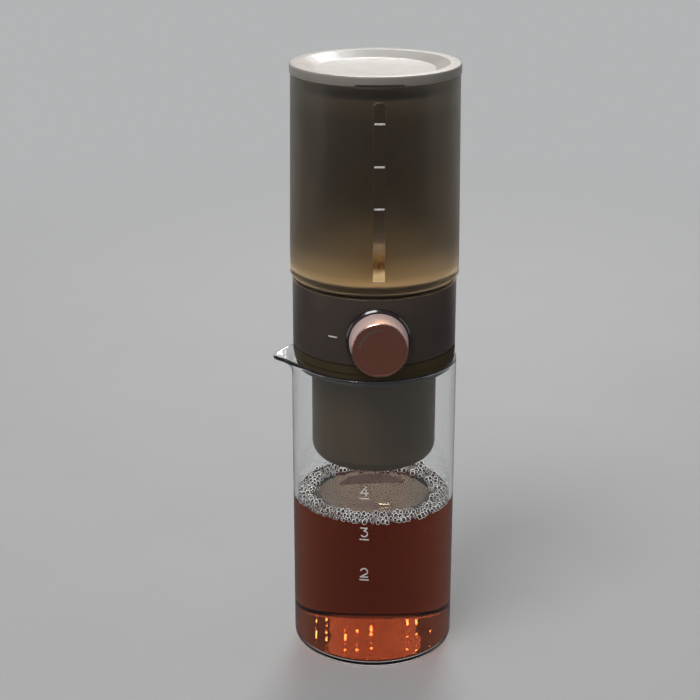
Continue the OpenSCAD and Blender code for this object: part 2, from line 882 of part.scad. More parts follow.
module water_tank() color(frosted)
    difference() {
        union() {
            rotate_extrude()
                polygon(concat(
                    [
                        [0, tank_z],
                        [spigot_r - spigot_wall, tank_z],
                        [spigot_r - spigot_wall, spigot_z],
                        [spigot_r, spigot_z],
                        [spigot_r, housing_top + seat_gap],
                        [neck_r, housing_top + seat_gap],
                        [neck_r, tank_z],
                    ],
                    arc([tank_r - tank_foot_r, tank_z + tank_foot_r], tank_foot_r, -90, 0),
                    [
                        [mouth_r, tank_top],
                        [tank_in_mouth_r, tank_top],
                    ],
                    arc([tank_in_foot_r - tank_corner_r, tank_floor_z + tank_corner_r],
                        tank_corner_r, 0, -90),
                    [[0, tank_floor_z]]));
            translate([0, 0, outlet_z])
                cylinder(r = outlet_r, h = tank_z - outlet_z + cut);
        }
        translate([0, 0, outlet_z - cut])
            cylinder(r = outlet_in_r, h = tank_floor_z - outlet_z + 2 * cut);
        upright(2 * tank_r)
            window_2d(0);
    }

module level_window() color(clear_smoke)
    intersection() {
        rotate_extrude()
            polygon([
                [tank_in_foot_r, tank_z],
                [tank_r, tank_z],
                [mouth_r, tank_top],
                [tank_in_mouth_r, tank_top],
            ]);
        upright(2 * tank_r)
            window_2d(snug_gap);
    }

module tank_scale() color(ink_white)
    for (i = [0:2]) {
        z = window_z + window_h - tick_drop - i * tick_pitch;
        r = tank_r_at(z - tick_h / 2) + ink_gap;
        intersection() {
            ring(r + ink_t, r, z - tick_h, 2 * tick_h);
            upright(2 * tank_r)
                translate([-tick_l / 2, z - tick_h / 2])
                    square([tick_l, tick_h]);
        }
    }

module outlet_gasket() color(silicone)
    ring(gasket_r, outlet_in_r, outlet_z - gasket_t, gasket_t);

module inlet_strainer() color(brass)
    translate([0, 0, tank_floor_z])
        difference() {
            cylinder(d = strainer_d, h = strainer_h);
            translate([0, 0, -cut])
                cylinder(d = strainer_d - 2 * strainer_wall, h = strainer_h - strainer_wall + cut);
            for (i = [0:strainer_slots - 1])
                rotate([0, 0, (i + 0.5) * 360 / strainer_slots])
                    translate([0, -strainer_slot_w / 2, strainer_wall])
                        cube([strainer_d, strainer_slot_w, strainer_h - 3 * strainer_wall]);
            hole_field(strainer_slot_w, 2 * strainer_slot_w, 2, strainer_h - 2 * strainer_wall,
                3 * strainer_wall);
        }

module lid() color(smoke)
    difference() {
        rotate_extrude()
            polygon(concat(
                [[0, lid_top - lid_dish - lid_wall]],
                [
                    [lid_plug_r - lid_plug_wall, lid_top - lid_dish - lid_wall],
                    [lid_plug_r - lid_plug_wall, lid_z - lid_plug_h],
                    [lid_plug_r, lid_z - lid_plug_h],
                    [lid_plug_r, lid_seal_z - snug_gap],
                    [lid_seal_r - lid_seal_t, lid_seal_z - snug_gap],
                    [lid_seal_r - lid_seal_t, lid_seal_z + lid_seal_h + snug_gap],
                    [lid_plug_r, lid_seal_z + lid_seal_h + snug_gap],
                    [lid_plug_r, lid_z],
                    [lid_r, lid_z],
                ],
                arc([lid_r - lid_edge_round, lid_top - lid_edge_round], lid_edge_round, 0, 90),
                [
                    [lid_r - lid_rim_w, lid_top],
                    [lid_floor_r, lid_top - lid_dish],
                    [0, lid_top - lid_dish],
                ]));
        translate([-thumb_w / 2, -lid_r - cut, lid_z - cut])
            cube([thumb_w, lid_r + cut - thumb_floor_y, thumb_h + cut]);
    }

module lid_seal() color(silicone)
    ring(lid_seal_r, lid_seal_r - lid_seal_t + snug_gap, lid_seal_z, lid_seal_h);

glass_carafe();
carafe_scale();
coffee();
filter_cup();
cup_seal();
filter_mesh();
mesh_frame();
spreader_disc();
valve_housing();
housing_base();
housing_screws();
valve_body();
valve_screws();
drip_nozzle();
gland_nut();
knob_collar();
index_mark();
valve_spindle();
spindle_o_rings();
spindle_clip();
knob_hub();
knob_cap();
dial_marks();
water_tank();
level_window();
tank_scale();
outlet_gasket();
inlet_strainer();
lid();
lid_seal();
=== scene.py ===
"""Cold brew drip coffee maker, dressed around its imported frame.

A frosted water tank stands on a ring-shaped valve housing with a rose gold knob. The housing stands on a smoky
filter cup, which hangs in a glass carafe of coffee. Lengths are in metres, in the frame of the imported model: +Z is
up, the knob faces -Y and the spout points towards -X.
"""

import json
import logging
import math
import random
from collections.abc import Callable, Sequence
from dataclasses import dataclass
from enum import Enum

import bmesh
import bpy
from mathutils import Matrix, Vector


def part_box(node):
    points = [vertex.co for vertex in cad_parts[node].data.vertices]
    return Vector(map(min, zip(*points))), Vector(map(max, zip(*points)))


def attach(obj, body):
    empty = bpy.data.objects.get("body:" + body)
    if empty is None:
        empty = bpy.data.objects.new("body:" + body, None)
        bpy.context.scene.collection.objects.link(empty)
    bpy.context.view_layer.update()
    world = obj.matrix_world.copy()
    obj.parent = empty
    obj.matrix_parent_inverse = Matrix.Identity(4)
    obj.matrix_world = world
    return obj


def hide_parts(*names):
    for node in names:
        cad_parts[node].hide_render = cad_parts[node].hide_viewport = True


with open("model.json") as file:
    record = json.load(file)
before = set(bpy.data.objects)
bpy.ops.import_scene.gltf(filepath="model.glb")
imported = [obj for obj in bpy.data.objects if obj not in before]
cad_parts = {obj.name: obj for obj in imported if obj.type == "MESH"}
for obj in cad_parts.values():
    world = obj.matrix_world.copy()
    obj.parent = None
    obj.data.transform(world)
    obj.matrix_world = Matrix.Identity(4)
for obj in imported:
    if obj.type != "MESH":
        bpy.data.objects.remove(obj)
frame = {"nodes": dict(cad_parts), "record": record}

LOG = logging.getLogger("coffee_maker")
MM = 0.001
FRAME_PX = 700  # the picture's width, in pixels
SENSOR = 36.0  # the width of the camera's sensor, in millimetres
CREASE = 35.0  # edges that turn by more than this many degrees stay crisp
FINE_TURN = 240  # the steps round the axis of the large turned pieces

Colour = tuple[float, float, float]
Corner = tuple[float, float, float]
Point = tuple[float, float]
Socket = bpy.types.NodeSocket
Inputs = dict[str | int, Socket | float | Colour]

WHITE: Colour = (1.0, 1.0, 1.0)


class Body(Enum):
    """The bodies that carry the pieces drawn here."""

    CARAFE = "carafe"
    HOUSING = "housing"
    KNOB = "knob"
    TANK = "tank"
    LID = "lid"


class Slot(Enum):
    """The material slots of the record."""

    CLEAR_GLASS = "clear_glass"
    PRINTED_WHITE = "printed_white"
    COFFEE = "coffee"
    SMOKY_SATIN = "smoky_satin"
    SMOKY_GLOSS = "smoky_gloss"
    FROSTED_SMOKE = "frosted_smoke"
    CLEAR_SMOKE = "clear_smoke"
    SILICONE = "silicone"
    STAINLESS = "stainless"
    BRASS = "brass"
    BLACK_PLASTIC = "black_plastic"
    ROSE_GOLD = "rose_gold"
    DIAL_ENGRAVING = "dial_engraving"


# --- Node recipes ---


def wired(tree: bpy.types.NodeTree, kind: str, inputs: Inputs | None = None,
          **settings: object) -> bpy.types.Node:
    """Adds a node to a tree, sets its own properties and fills its inputs.

    Args:
        tree: The node tree.
        kind: The node's type.
        inputs: What each input takes, by its name or place: another node's output, or a value.
        settings: Properties of the node, by name.

    Returns:
        The new node.
    """
    node = tree.nodes.new(kind)
    for key, value in settings.items():
        setattr(node, key, value)
    for key, value in (inputs or {}).items():
        socket = node.inputs[key]
        if isinstance(value, Socket):
            tree.links.new(value, socket)
        elif socket.type == "RGBA":
            socket.default_value = (*value, 1.0)
        else:
            socket.default_value = value
    return node


def toned(first: Colour, second: Colour, share: float) -> Colour:
    """Mixes two colours, the first by its share."""
    return tuple(share * a + (1.0 - share) * b for a, b in zip(first, second))


class Recipe:
    """A material's or world's node tree, with short ways to add and join its nodes."""

    def __init__(self, name: str, world: bool = False) -> None:
        """Starts an empty material or world.

        Args:
            name: Its name.
            world: Whether it is a world.
        """
        self.material = (bpy.data.worlds if world else bpy.data.materials).new(name)
        self.material.use_nodes = True
        self.tree = self.material.node_tree
        self.tree.nodes.clear()
        self.output = self.add("ShaderNodeOutputWorld" if world else "ShaderNodeOutputMaterial")

    def add(self, kind: str, inputs: Inputs | None = None, **settings: object) -> bpy.types.Node:
        """Adds a node to this tree, as wired does."""
        return wired(self.tree, kind, inputs, **settings)

    def join(self, source: Socket, target: Socket) -> None:
        """Links two sockets."""
        self.tree.links.new(source, target)

    def place(self) -> Socket:
        """Gives the piece's own object coordinates."""
        return self.add("ShaderNodeTexCoord").outputs["Object"]

    def along(self, vector: Socket, axis: str) -> Socket:
        """Gives a vector's part along X, Y or Z."""
        return self.add("ShaderNodeSeparateXYZ", {0: vector}).outputs[axis]

    def height(self) -> Socket:
        """Gives the height above the table, in metres."""
        return self.along(self.place(), "Z")

    def length(self, vector: Socket) -> Socket:
        """Gives a vector's length."""
        return self.add("ShaderNodeVectorMath", {0: vector}, operation="LENGTH").outputs["Value"]

    def facing(self) -> Socket:
        """Gives 0 where a face is seen straight on, and 1 where it turns away."""
        return self.add("ShaderNodeLayerWeight", {"Blend": 0.5}).outputs["Facing"]

    def rays(self, kind: str) -> Socket:
        """Gives 1 on one kind of ray, and 0 on all others."""
        return self.add("ShaderNodeLightPath").outputs[f"Is {kind} Ray"]

    def maths(self, operation: str, *values: Socket | float, **settings: object) -> Socket:
        """Gives what an operation makes of its values."""
        return self.add("ShaderNodeMath", dict(enumerate(values)), operation=operation, **settings).outputs[0]

    def noise(self, scale: float, detail: float = 2.0, at: Socket | None = None) -> Socket:
        """Adds a noise pattern.

        Args:
            scale: Its scale, in patterns per metre.
            detail: Its levels of detail.
            at: Its coordinates, or None for the object's own.

        Returns:
            The pattern's factor.
        """
        place = at or self.place()
        return self.add("ShaderNodeTexNoise", {"Vector": place, "Scale": scale, "Detail": detail}).outputs["Fac"]

    def spread(self, value: Socket, low: float, high: float, to_low: float = 0.0, to_high: float = 1.0) -> Socket:
        """Maps a value from one range to another, smoothly and clamped.

        Args:
            value: The value.
            low: The start of its range.
            high: The end of its range.
            to_low: What the start becomes.
            to_high: What the end becomes.

        Returns:
            The mapped value.
        """
        ends = {"From Min": low, "From Max": high, "To Min": to_low, "To Max": to_high}
        node = self.add("ShaderNodeMapRange", {"Value": value, **ends}, interpolation_type="SMOOTHSTEP")
        return node.outputs["Result"]

    def ramp(self, value: Socket, stops: Sequence[tuple[float, Colour]]) -> Socket:
        """Turns a value from 0 to 1 into a colour.

        Args:
            value: The value.
            stops: The place and colour of each stop.

        Returns:
            The colour.
        """
        node = self.add("ShaderNodeValToRGB", {"Fac": value})
        elements = node.color_ramp.elements
        while len(elements) < len(stops):
            elements.new(1.0)
        for element, (place, colour) in zip(elements, stops):
            element.position = place
            element.color = (*colour, 1.0)
        return node.outputs["Color"]

    def bump(self, height: Socket, depth: float, strength: float) -> Socket:
        """Turns a height pattern into a normal.

        Args:
            height: The pattern.
            depth: How deep it is, in metres.
            strength: How much of it shows.

        Returns:
            The normal.
        """
        node = self.add("ShaderNodeBump", {"Height": height, "Distance": depth, "Strength": strength})
        return node.outputs["Normal"]

    def principled(self, **values: Socket | float | Colour) -> bpy.types.Node:
        """Adds a Principled shader, whose inputs are named with underscores for their spaces."""
        inputs = {key.replace("_", " "): value for key, value in values.items()}
        return self.add("ShaderNodeBsdfPrincipled", inputs)

    def seen_rays(self) -> Socket:
        """Gives 1 on the rays that show a background: the camera's, and those of mirrors and of clear things."""
        bent = self.maths("MAXIMUM", self.rays("Glossy"), self.rays("Transmission"))
        return self.maths("MAXIMUM", self.rays("Camera"), bent)

    def mixed(self, share: Socket, first: bpy.types.Node, second: bpy.types.Node) -> bpy.types.Node:
        """Mixes two shaders, the second by its share."""
        return self.add("ShaderNodeMixShader", {"Fac": share, 1: first.outputs[0], 2: second.outputs[0]})

    def blended(self, share: Socket, first: Colour, second: Socket | Colour) -> Socket:
        """Mixes two colours.

        Args:
            share: The second one's share, from 0 to 1.
            first: The first colour.
            second: The second colour.

        Returns:
            The mixed colour.
        """
        mix = self.add("ShaderNodeMix", {"Factor": share}, data_type="RGBA")
        colours = [socket for socket in mix.inputs if socket.type == "RGBA"]
        colours[0].default_value = (*first, 1.0)
        if isinstance(second, Socket):
            self.join(second, colours[1])
        else:
            colours[1].default_value = (*second, 1.0)
        return next(socket for socket in mix.outputs if socket.type == "RGBA")

    def finish(self, shader: bpy.types.Node, clear: Colour | None = None) -> bpy.types.Material:
        """Joins the shader to the output.

        Args:
            shader: The shader node.
            clear: What lamps' shadow rays are tinted by at each face, or None where they stop.

        Returns:
            The finished material or world.
        """
        if clear is not None:
            through = self.add("ShaderNodeBsdfTransparent", {"Color": clear})
            shader = self.mixed(self.rays("Shadow"), shader, through)
        self.join(shader.outputs[0], self.output.inputs["Surface"])
        return self.material


# --- Finishes ---


@dataclass(frozen=True)
class ClearGlass:
    """Clear blown glass with a faint waviness, and a painted highlight on its edges below a height."""

    name: str = "clear_glass"
    tint: Colour = (0.985, 0.99, 0.988)
    # The pale colour mixed in at the edges: a painted highlight.
    edge_highlight: Colour = (0.93, 0.94, 0.95)
    ior: float = 1.49
    edge: float = 0.5
    edge_from: float = 0.86
    edge_below: float = 0.166

    def make(self) -> bpy.types.Material:
        """Builds the material."""
        r = Recipe(self.name)
        glass = r.principled(Base_Color=self.tint, Roughness=0.0, IOR=self.ior, Transmission_Weight=1.0,
                             Normal=r.bump(r.noise(28.0, 1.0), 0.12 * MM, 0.35))
        # The painted highlight, mixed in where the faces turn away, below edge_below.
        edge_highlight = r.principled(Base_Color=self.edge_highlight, Roughness=0.2)
        edge = r.spread(r.facing(), self.edge_from, 0.99, 0.0, self.edge)
        low = r.spread(r.height(), self.edge_below, self.edge_below + 2.0 * MM, 1.0, 0.0)
        return r.finish(r.mixed(r.maths("MULTIPLY", edge, low), glass, edge_highlight), clear=self.tint)


@dataclass(frozen=True)
class BrewedCoffee:
    """Clear red-brown coffee, which darkens with its depth.

    Its sides lie wet on the glass, so the bend and the mirroring there belong to the wet glass alone.
    """

    name: str
    ior: float
    ripple: float = 0.0
    lets_through: Colour = (0.632, 0.293, 0.107)
    density: float = 60.0

    def make(self) -> bpy.types.Material:
        """Builds the material."""
        r = Recipe(self.name)
        liquid = r.principled(Base_Color=WHITE, Roughness=0.0, IOR=self.ior, Transmission_Weight=1.0)
        if self.ripple:
            r.join(r.bump(r.noise(55.0, 1.0), self.ripple, 0.3), liquid.inputs["Normal"])
        volume = r.add("ShaderNodeVolumeAbsorption", {"Color": self.lets_through, "Density": self.density})
        r.join(volume.outputs[0], r.output.inputs["Volume"])
        return r.finish(liquid, clear=WHITE)


@dataclass(frozen=True)
class Froth:
    """The thin skins of bubbles: clear where seen straight on, white towards their rims, with a painted glow."""

    name: str = "froth"
    colour: Colour = (0.95, 0.93, 0.91)
    shade: Colour = (0.70, 0.64, 0.58)
    skin: Colour = (0.28, 0.24, 0.22)
    glint: float = 0.08
    # The emission that makes the skins glow: painted light.
    painted_glow: float = 0.55

    def make(self) -> bpy.types.Material:
        """Builds the material."""
        r = Recipe(self.name)
        rim = r.facing()
        skin = r.add("ShaderNodeBsdfTransparent", {"Color": self.skin})
        shine = r.add("ShaderNodeBsdfGlossy", {"Roughness": 0.1})
        wet = r.mixed(r.spread(rim, 0.0, 0.8, self.glint, 0.3), skin, shine)
        tone = r.ramp(r.noise(260.0), [(0.35, self.shade), (0.65, self.colour)])
        # The white film glows by its emission: a painted glow.
        film = r.principled(Base_Color=tone, Roughness=0.3, Specular_IOR_Level=0.8, Emission_Color=self.colour,
                            Emission_Strength=self.painted_glow)
        return r.finish(r.mixed(r.spread(rim, 0.44, 0.58), wet, film))


@dataclass(frozen=True)
class FrostedTank:
    """Frosted smoky plastic, darkest at mid height, paler at its mouth, with a painted glow at its foot and painted
    shade on its neck.
    """

    name: str = "frosted_smoke"
    dark: Colour = (0.165, 0.142, 0.108)
    # The painted glow of the lit floor, seen through the wall at the foot.
    light: Colour = (0.84, 0.70, 0.50)
    upper: Colour = (0.46, 0.40, 0.315)
    # Painted shade on the neck, in the gap above the housing.
    neck: Colour = (0.02, 0.016, 0.012)
    glow_share: float = 0.27
    pale_share: float = 0.20
    start: float = 0.2250
    rise: float = 0.112
    roughness: float = 0.42
    cloud: float = 0.03

    def make(self) -> bpy.types.Material:
        """Builds the material."""
        r = Recipe(self.name)
        ends = {"From Min": self.start, "From Max": self.start + self.rise}
        share = r.add("ShaderNodeMapRange", {"Value": r.height(), **ends}).outputs["Result"]
        painted_glow = toned(self.light, self.dark, self.glow_share)
        pale = toned(self.upper, self.dark, self.pale_share)
        # Up from the bottom: painted shade on the neck, the painted glow of the lit floor fading up the wall, the
        # plain tint, then paler towards the mouth.
        stops = [(0.0, self.neck), (0.018, self.light), (0.10, painted_glow), (0.21, self.dark), (0.60, self.dark),
                 (0.85, pale), (1.0, self.upper)]
        rough = r.spread(r.noise(60.0, 3.0), 0.3, 0.7, self.roughness - self.cloud, self.roughness + self.cloud)
        shader = r.principled(Base_Color=r.ramp(share, stops), Roughness=rough, IOR=1.45, Transmission_Weight=1.0,
                              Specular_IOR_Level=0.2, Coat_Weight=0.05, Coat_Roughness=0.3,
                              Normal=r.bump(r.noise(2600.0), 0.03 * MM, 0.25))
        return r.finish(shader, clear=(0.86, 0.79, 0.68))


@dataclass(frozen=True)
class ClearWindow:
    """Clear smoky plastic, polished, and paler at its foot, where the paler tint is a painted glow of the lit tank
    floor.
    """

    name: str = "clear_smoke"
    tint: Colour = (0.26, 0.215, 0.17)
    # The paler tint at the foot: a painted glow of the lit floor behind it.
    foot: Colour = (0.93, 0.86, 0.76)
    foot_z: float = 0.2395
    foot_fade: float = 4.0 * MM

    def make(self) -> bpy.types.Material:
        """Builds the material."""
        r = Recipe(self.name)
        dark = r.spread(r.height(), self.foot_z, self.foot_z + self.foot_fade)
        rough = r.spread(r.noise(90.0), 0.3, 0.7, 0.03, 0.09)
        shader = r.principled(Base_Color=r.ramp(dark, [(0.0, self.foot), (1.0, self.tint)]), Roughness=rough,
                              IOR=1.49, Transmission_Weight=1.0)
        return r.finish(shader, clear=(0.9, 0.84, 0.76))


@dataclass(frozen=True)
class SmokyPlastic:
    """Moulded smoky plastic with a faint mottle and, where it is satin, a fine grain."""

    name: str
    colour: Colour
    deep: Colour
    roughness: float
    grain: float = 0.0
    coat: float = 0.0
    specular: float = 0.5

    def make(self) -> bpy.types.Material:
        """Builds the material."""
        r = Recipe(self.name)
        tone = r.ramp(r.noise(22.0, 3.0), [(0.3, self.deep), (0.7, self.colour)])
        rough = r.spread(r.noise(140.0, 4.0), 0.3, 0.7, self.roughness * 0.85, self.roughness * 1.2)
        shader = r.principled(Base_Color=tone, Roughness=rough, IOR=1.47, Specular_IOR_Level=self.specular,
                              Coat_Weight=self.coat, Coat_Roughness=0.04)
        if self.grain:
            r.join(r.bump(r.noise(1900.0), self.grain, 0.4), shader.inputs["Normal"])
        return r.finish(shader)


@dataclass(frozen=True)
class SpunMetal:
    """Turned or brushed metal with fine tool marks."""

    name: str
    colour: Colour
    shade: Colour
    roughness: float
    stretch: Corner
    marks: float = 900.0
    depth: float = 0.01 * MM
    metal: float = 1.0

    def make(self) -> bpy.types.Material:
        """Builds the material."""
        r = Recipe(self.name)
        stretched = r.add("ShaderNodeMapping", {"Vector": r.place(), "Scale": self.stretch}).outputs["Vector"]
        lines = r.noise(self.marks, 3.0, stretched)
        tone = r.ramp(lines, [(0.35, self.shade), (0.65, self.colour)])
        rough = r.spread(lines, 0.3, 0.7, self.roughness * 0.8, self.roughness * 1.25)
        return r.finish(r.principled(Base_Color=tone, Roughness=rough, Metallic=self.metal,
                                     Normal=r.bump(lines, self.depth, 0.5)))


@dataclass(frozen=True)
class SpunFace:
    """The knob's face: fine rings about its own axis."""

    name: str
    colour: Colour
    shade: Colour
    centre_z: float
    rings: float = 2600.0

    def make(self) -> bpy.types.Material:
        """Builds the material."""
        r = Recipe(self.name)
        centred = r.add("ShaderNodeMapping", {"Vector": r.place(), "Location": (0.0, 0.0, -self.centre_z)})
        flat = r.add("ShaderNodeVectorMath", {0: centred.outputs["Vector"], 1: (1.0, 0.0, 1.0)},
                     operation="MULTIPLY")
        reach = r.length(flat.outputs["Vector"])
        ring = r.add("ShaderNodeTexNoise", {"W": reach, "Scale": self.rings, "Detail": 4.0},
                     noise_dimensions="1D").outputs["Fac"]
        tone = r.ramp(ring, [(0.3, self.shade), (0.7, self.colour)])
        return r.finish(r.principled(Base_Color=tone, Roughness=r.spread(ring, 0.3, 0.7, 0.24, 0.4), Metallic=1.0,
                                     Normal=r.bump(ring, 0.02 * MM, 0.5)))


@dataclass(frozen=True)
class Ink:
    """Printed ink, a little uneven."""

    name: str
    colour: Colour
    worn: Colour

    def make(self) -> bpy.types.Material:
        """Builds the material."""
        r = Recipe(self.name)
        tone = r.ramp(r.noise(900.0, 3.0), [(0.3, self.worn), (0.6, self.colour)])
        return r.finish(r.principled(Base_Color=tone, Roughness=0.45))


@dataclass(frozen=True)
class Surroundings:
    """The even pale background behind the object, and the dimmer side of the studio in front of it."""

    pale: Colour = (0.45, 0.455, 0.46)
    dim: Colour = (0.115, 0.105, 0.11)

    def seen(self, r: Recipe, back: Socket) -> Socket:
        """Gives the colour that is seen: pale to the eye and through glass, dimmer where the front is mirrored.

        Args:
            r: The recipe to add to.
            back: How far back a place or direction lies. It is below zero in front.

        Returns:
            The colour.
        """
        mirrored = r.blended(r.spread(back, 0.3, 1.0), self.dim, self.pale)
        only_mirrored = r.maths("SUBTRACT", r.rays("Glossy"), r.rays("Transmission"), use_clamp=True)
        return r.blended(only_mirrored, self.pale, mirrored)


@dataclass(frozen=True)
class Paper:
    """The studio's floor: pale paper that runs into the even background."""

    surroundings: Surroundings
    name: str = "studio_floor"
    colour: Colour = (0.355, 0.358, 0.362)
    worn: float = 0.97
    near: float = 0.35
    far: float = 1.3

    def make(self) -> bpy.types.Material:
        """Builds the material."""
        r = Recipe(self.name)
        worn = tuple(c * self.worn for c in self.colour)
        tone = r.ramp(r.noise(9.0, 4.0), [(0.3, worn), (0.7, self.colour)])
        paper = r.principled(Base_Color=tone, Roughness=0.75, Specular_IOR_Level=0.2)
        fade = r.spread(r.length(r.place()), self.near, self.far)
        share = r.maths("MULTIPLY", r.maths("MAXIMUM", fade, r.rays("Glossy")), r.seen_rays())
        beyond = r.add("ShaderNodeEmission", {"Color": self.surroundings.seen(r, r.along(r.place(), "Y"))})
        return r.finish(r.mixed(share, paper, beyond))


# --- Shapes ---


def filleted(corners: Sequence[Corner], steps: int = 4) -> list[Point]:
    """Rounds the corners of an outline.

    Args:
        corners: The radius, the height and the fillet of each corner, in order round the outline.
        steps: The pieces of each fillet's arc.

    Returns:
        The outline's points.
    """
    points: list[Point] = []
    count = len(corners)
    for i, (x, z, fillet) in enumerate(corners):
        here = Vector((x, z))
        if fillet <= 0.0:
            points.append((x, z))
            continue
        to_last = Vector(corners[i - 1][:2]) - here
        to_next = Vector(corners[(i + 1) % count][:2]) - here
        half = to_last.angle(to_next) / 2
        reach = min(fillet / math.tan(half), to_last.length * 0.49, to_next.length * 0.49)
        radius = reach * math.tan(half)
        start = here + to_last.normalized() * reach
        end = here + to_next.normalized() * reach
        middle = here + (to_last.normalized() + to_next.normalized()).normalized() * radius / math.sin(half)
        first, last = start - middle, end - middle
        sweep = first.angle_signed(last)
        for k in range(steps + 1):
            turn = Matrix.Rotation(-sweep * k / steps, 2)
            points.append(tuple(middle + turn @ first))
    return points


def arc(centre: Point, radius: float, start: float, end: float, steps: int) -> list[Point]:
    """Gives points along an arc.

    Args:
        centre: Its centre.
        radius: Its radius.
        start: The angle where it starts, in degrees.
        end: The angle where it ends.
        steps: The number of its pieces.

    Returns:
        The points.
    """
    angles = [math.radians(start + (end - start) * i / steps) for i in range(steps + 1)]
    return [(centre[0] + radius * math.cos(a), centre[1] + radius * math.sin(a)) for a in angles]


def between(start: float, end: float, steps: int) -> list[float]:
    """Gives the evenly spaced values between two others, without those two."""
    return [start + (end - start) * i / steps for i in range(1, steps)]


def solid(name: str, mesh_maker: Callable[[bmesh.types.BMesh], None]) -> bpy.types.Object:
    """Makes an object from a function that fills a bmesh, with normals that point outwards.

    Args:
        name: The piece's name.
        mesh_maker: The function.

    Returns:
        The new object.
    """
    mesh = bpy.data.meshes.new(name)
    bm = bmesh.new()
    mesh_maker(bm)
    bmesh.ops.recalc_face_normals(bm, faces=bm.faces)
    for face in bm.faces:
        face.smooth = True
    bm.to_mesh(mesh)
    bm.free()
    mesh.set_sharp_from_angle(angle=math.radians(CREASE))
    obj = bpy.data.objects.new(name, mesh)
    bpy.context.scene.collection.objects.link(obj)
    return obj


def lathe(name: str, outline: Sequence[Point], segments: int = 192, closed: bool = True) -> bpy.types.Object:
    """Turns an outline about the vertical axis.

    Args:
        name: The piece's name.
        outline: The radius and height of each point. Points on the axis become poles.
        segments: The number of steps round the axis.
        closed: Whether the last point joins the first.

    Returns:
        The turned piece.
    """

    def fill(bm: bmesh.types.BMesh) -> None:
        """Fills the mesh with rings and the faces between them."""
        rings = []
        for radius, z in outline:
            if radius < 1e-6:
                rings.append([bm.verts.new((0.0, 0.0, z))])
                continue
            turn = [2 * math.pi * i / segments for i in range(segments)]
            rings.append([bm.verts.new((radius * math.cos(a), radius * math.sin(a), z)) for a in turn])
        pairs = list(zip(rings, rings[1:]))
        if closed:
            pairs.append((rings[-1], rings[0]))
        for low, high in pairs:
            bridge(bm, low, high)

    return solid(name, fill)


def bridge(bm: bmesh.types.BMesh, low: list[bmesh.types.BMVert], high: list[bmesh.types.BMVert]) -> None:
    """Joins two rings with faces. Either may be a single pole.

    Args:
        bm: The mesh.
        low: The first ring.
        high: The second ring.
    """
    count = max(len(low), len(high))
    if count == 1:
        return
    for i in range(count):
        j = (i + 1) % count
        if len(low) == 1:
            bm.faces.new((low[0], high[j], high[i]))
        elif len(high) == 1:
            bm.faces.new((low[i], low[j], high[0]))
        else:
            bm.faces.new((low[i], low[j], high[j], high[i]))


def prism(name: str, outline: Sequence[Point], near: float, far: float) -> bpy.types.Object:
    """Makes a prism along Y.

    Args:
        name: Its name.
        outline: The X and Z of its corners.
        near: The Y of the end towards the axis.
        far: The Y of the other end.

    Returns:
        The prism.
    """

    def fill(bm: bmesh.types.BMesh) -> None:
        """Fills the mesh with both ends and the sides."""
        outer = [bm.verts.new((x, far, z)) for x, z in outline]
        inner = [bm.verts.new((x, near, z)) for x, z in outline]
        bm.faces.new(outer)
        bm.faces.new(inner[::-1])
        bridge(bm, inner, outer)

    return solid(name, fill)


def baked(obj: bpy.types.Object) -> bpy.types.Object:
    """Applies an object's modifiers to its mesh.

    Args:
        obj: The object.

    Returns:
        The same object, with a plain mesh.
    """
    graph = bpy.context.evaluated_depsgraph_get()
    mesh = bpy.data.meshes.new_from_object(obj.evaluated_get(graph))
    obj.modifiers.clear()
    obj.data = mesh
    mesh.name = obj.name
    return obj


def carved(obj: bpy.types.Object, cutter: bpy.types.Object, operation: str = "DIFFERENCE") -> bpy.types.Object:
    """Cuts a piece with another, which is then removed.

    Args:
        obj: The piece.
        cutter: The shape that cuts it.
        operation: The kind of cut.

    Returns:
        The piece, cut.
    """
    cut = obj.modifiers.new("cut", "BOOLEAN")
    cut.operation = operation
    cut.solver = "EXACT"
    cut.object = cutter
    baked(obj)
    bpy.data.objects.remove(cutter)
    for polygon in obj.data.polygons:
        polygon.use_smooth = True
    obj.data.set_sharp_from_angle(angle=math.radians(CREASE))
    return obj


def turned_to_front(obj: bpy.types.Object, height: float) -> bpy.types.Object:
    """Lays a piece that was turned about the vertical onto the knob's axis.

    Args:
        obj: The piece. Its top ends up at the front.
        height: The height of the knob's axis.

    Returns:
        The same piece.
    """
    obj.data.transform(Matrix.Translation((0.0, 0.0, height)) @ Matrix.Rotation(math.radians(90.0), 4, "X"))
    return obj


def dress(obj: bpy.types.Object, *finishes: bpy.types.Material) -> None:
    """Gives a piece its materials, in the order of its faces' indices, which are kept."""
    marks = [min(face.material_index, len(finishes) - 1) for face in obj.data.polygons]
    obj.data.materials.clear()
    for material in finishes:
        obj.data.materials.append(material)
    obj.data.polygons.foreach_set("material_index", marks)


def settle(obj: bpy.types.Object, body: Body, slot: Slot, *nodes: str) -> None:
    """Puts a piece on its body, in place of the nodes that it stands for.

    Args:
        obj: The piece.
        body: The body that carries it.
        slot: The record's slot of its finish. It is not used.
        nodes: The nodes that it replaces.
    """
    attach(obj, body.value)
    if nodes:
        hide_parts(*nodes)
    LOG.info("%s rides on %s and stands for %s", obj.name, body.value, ", ".join(nodes) or "nothing")


# --- Sub-assemblies ---


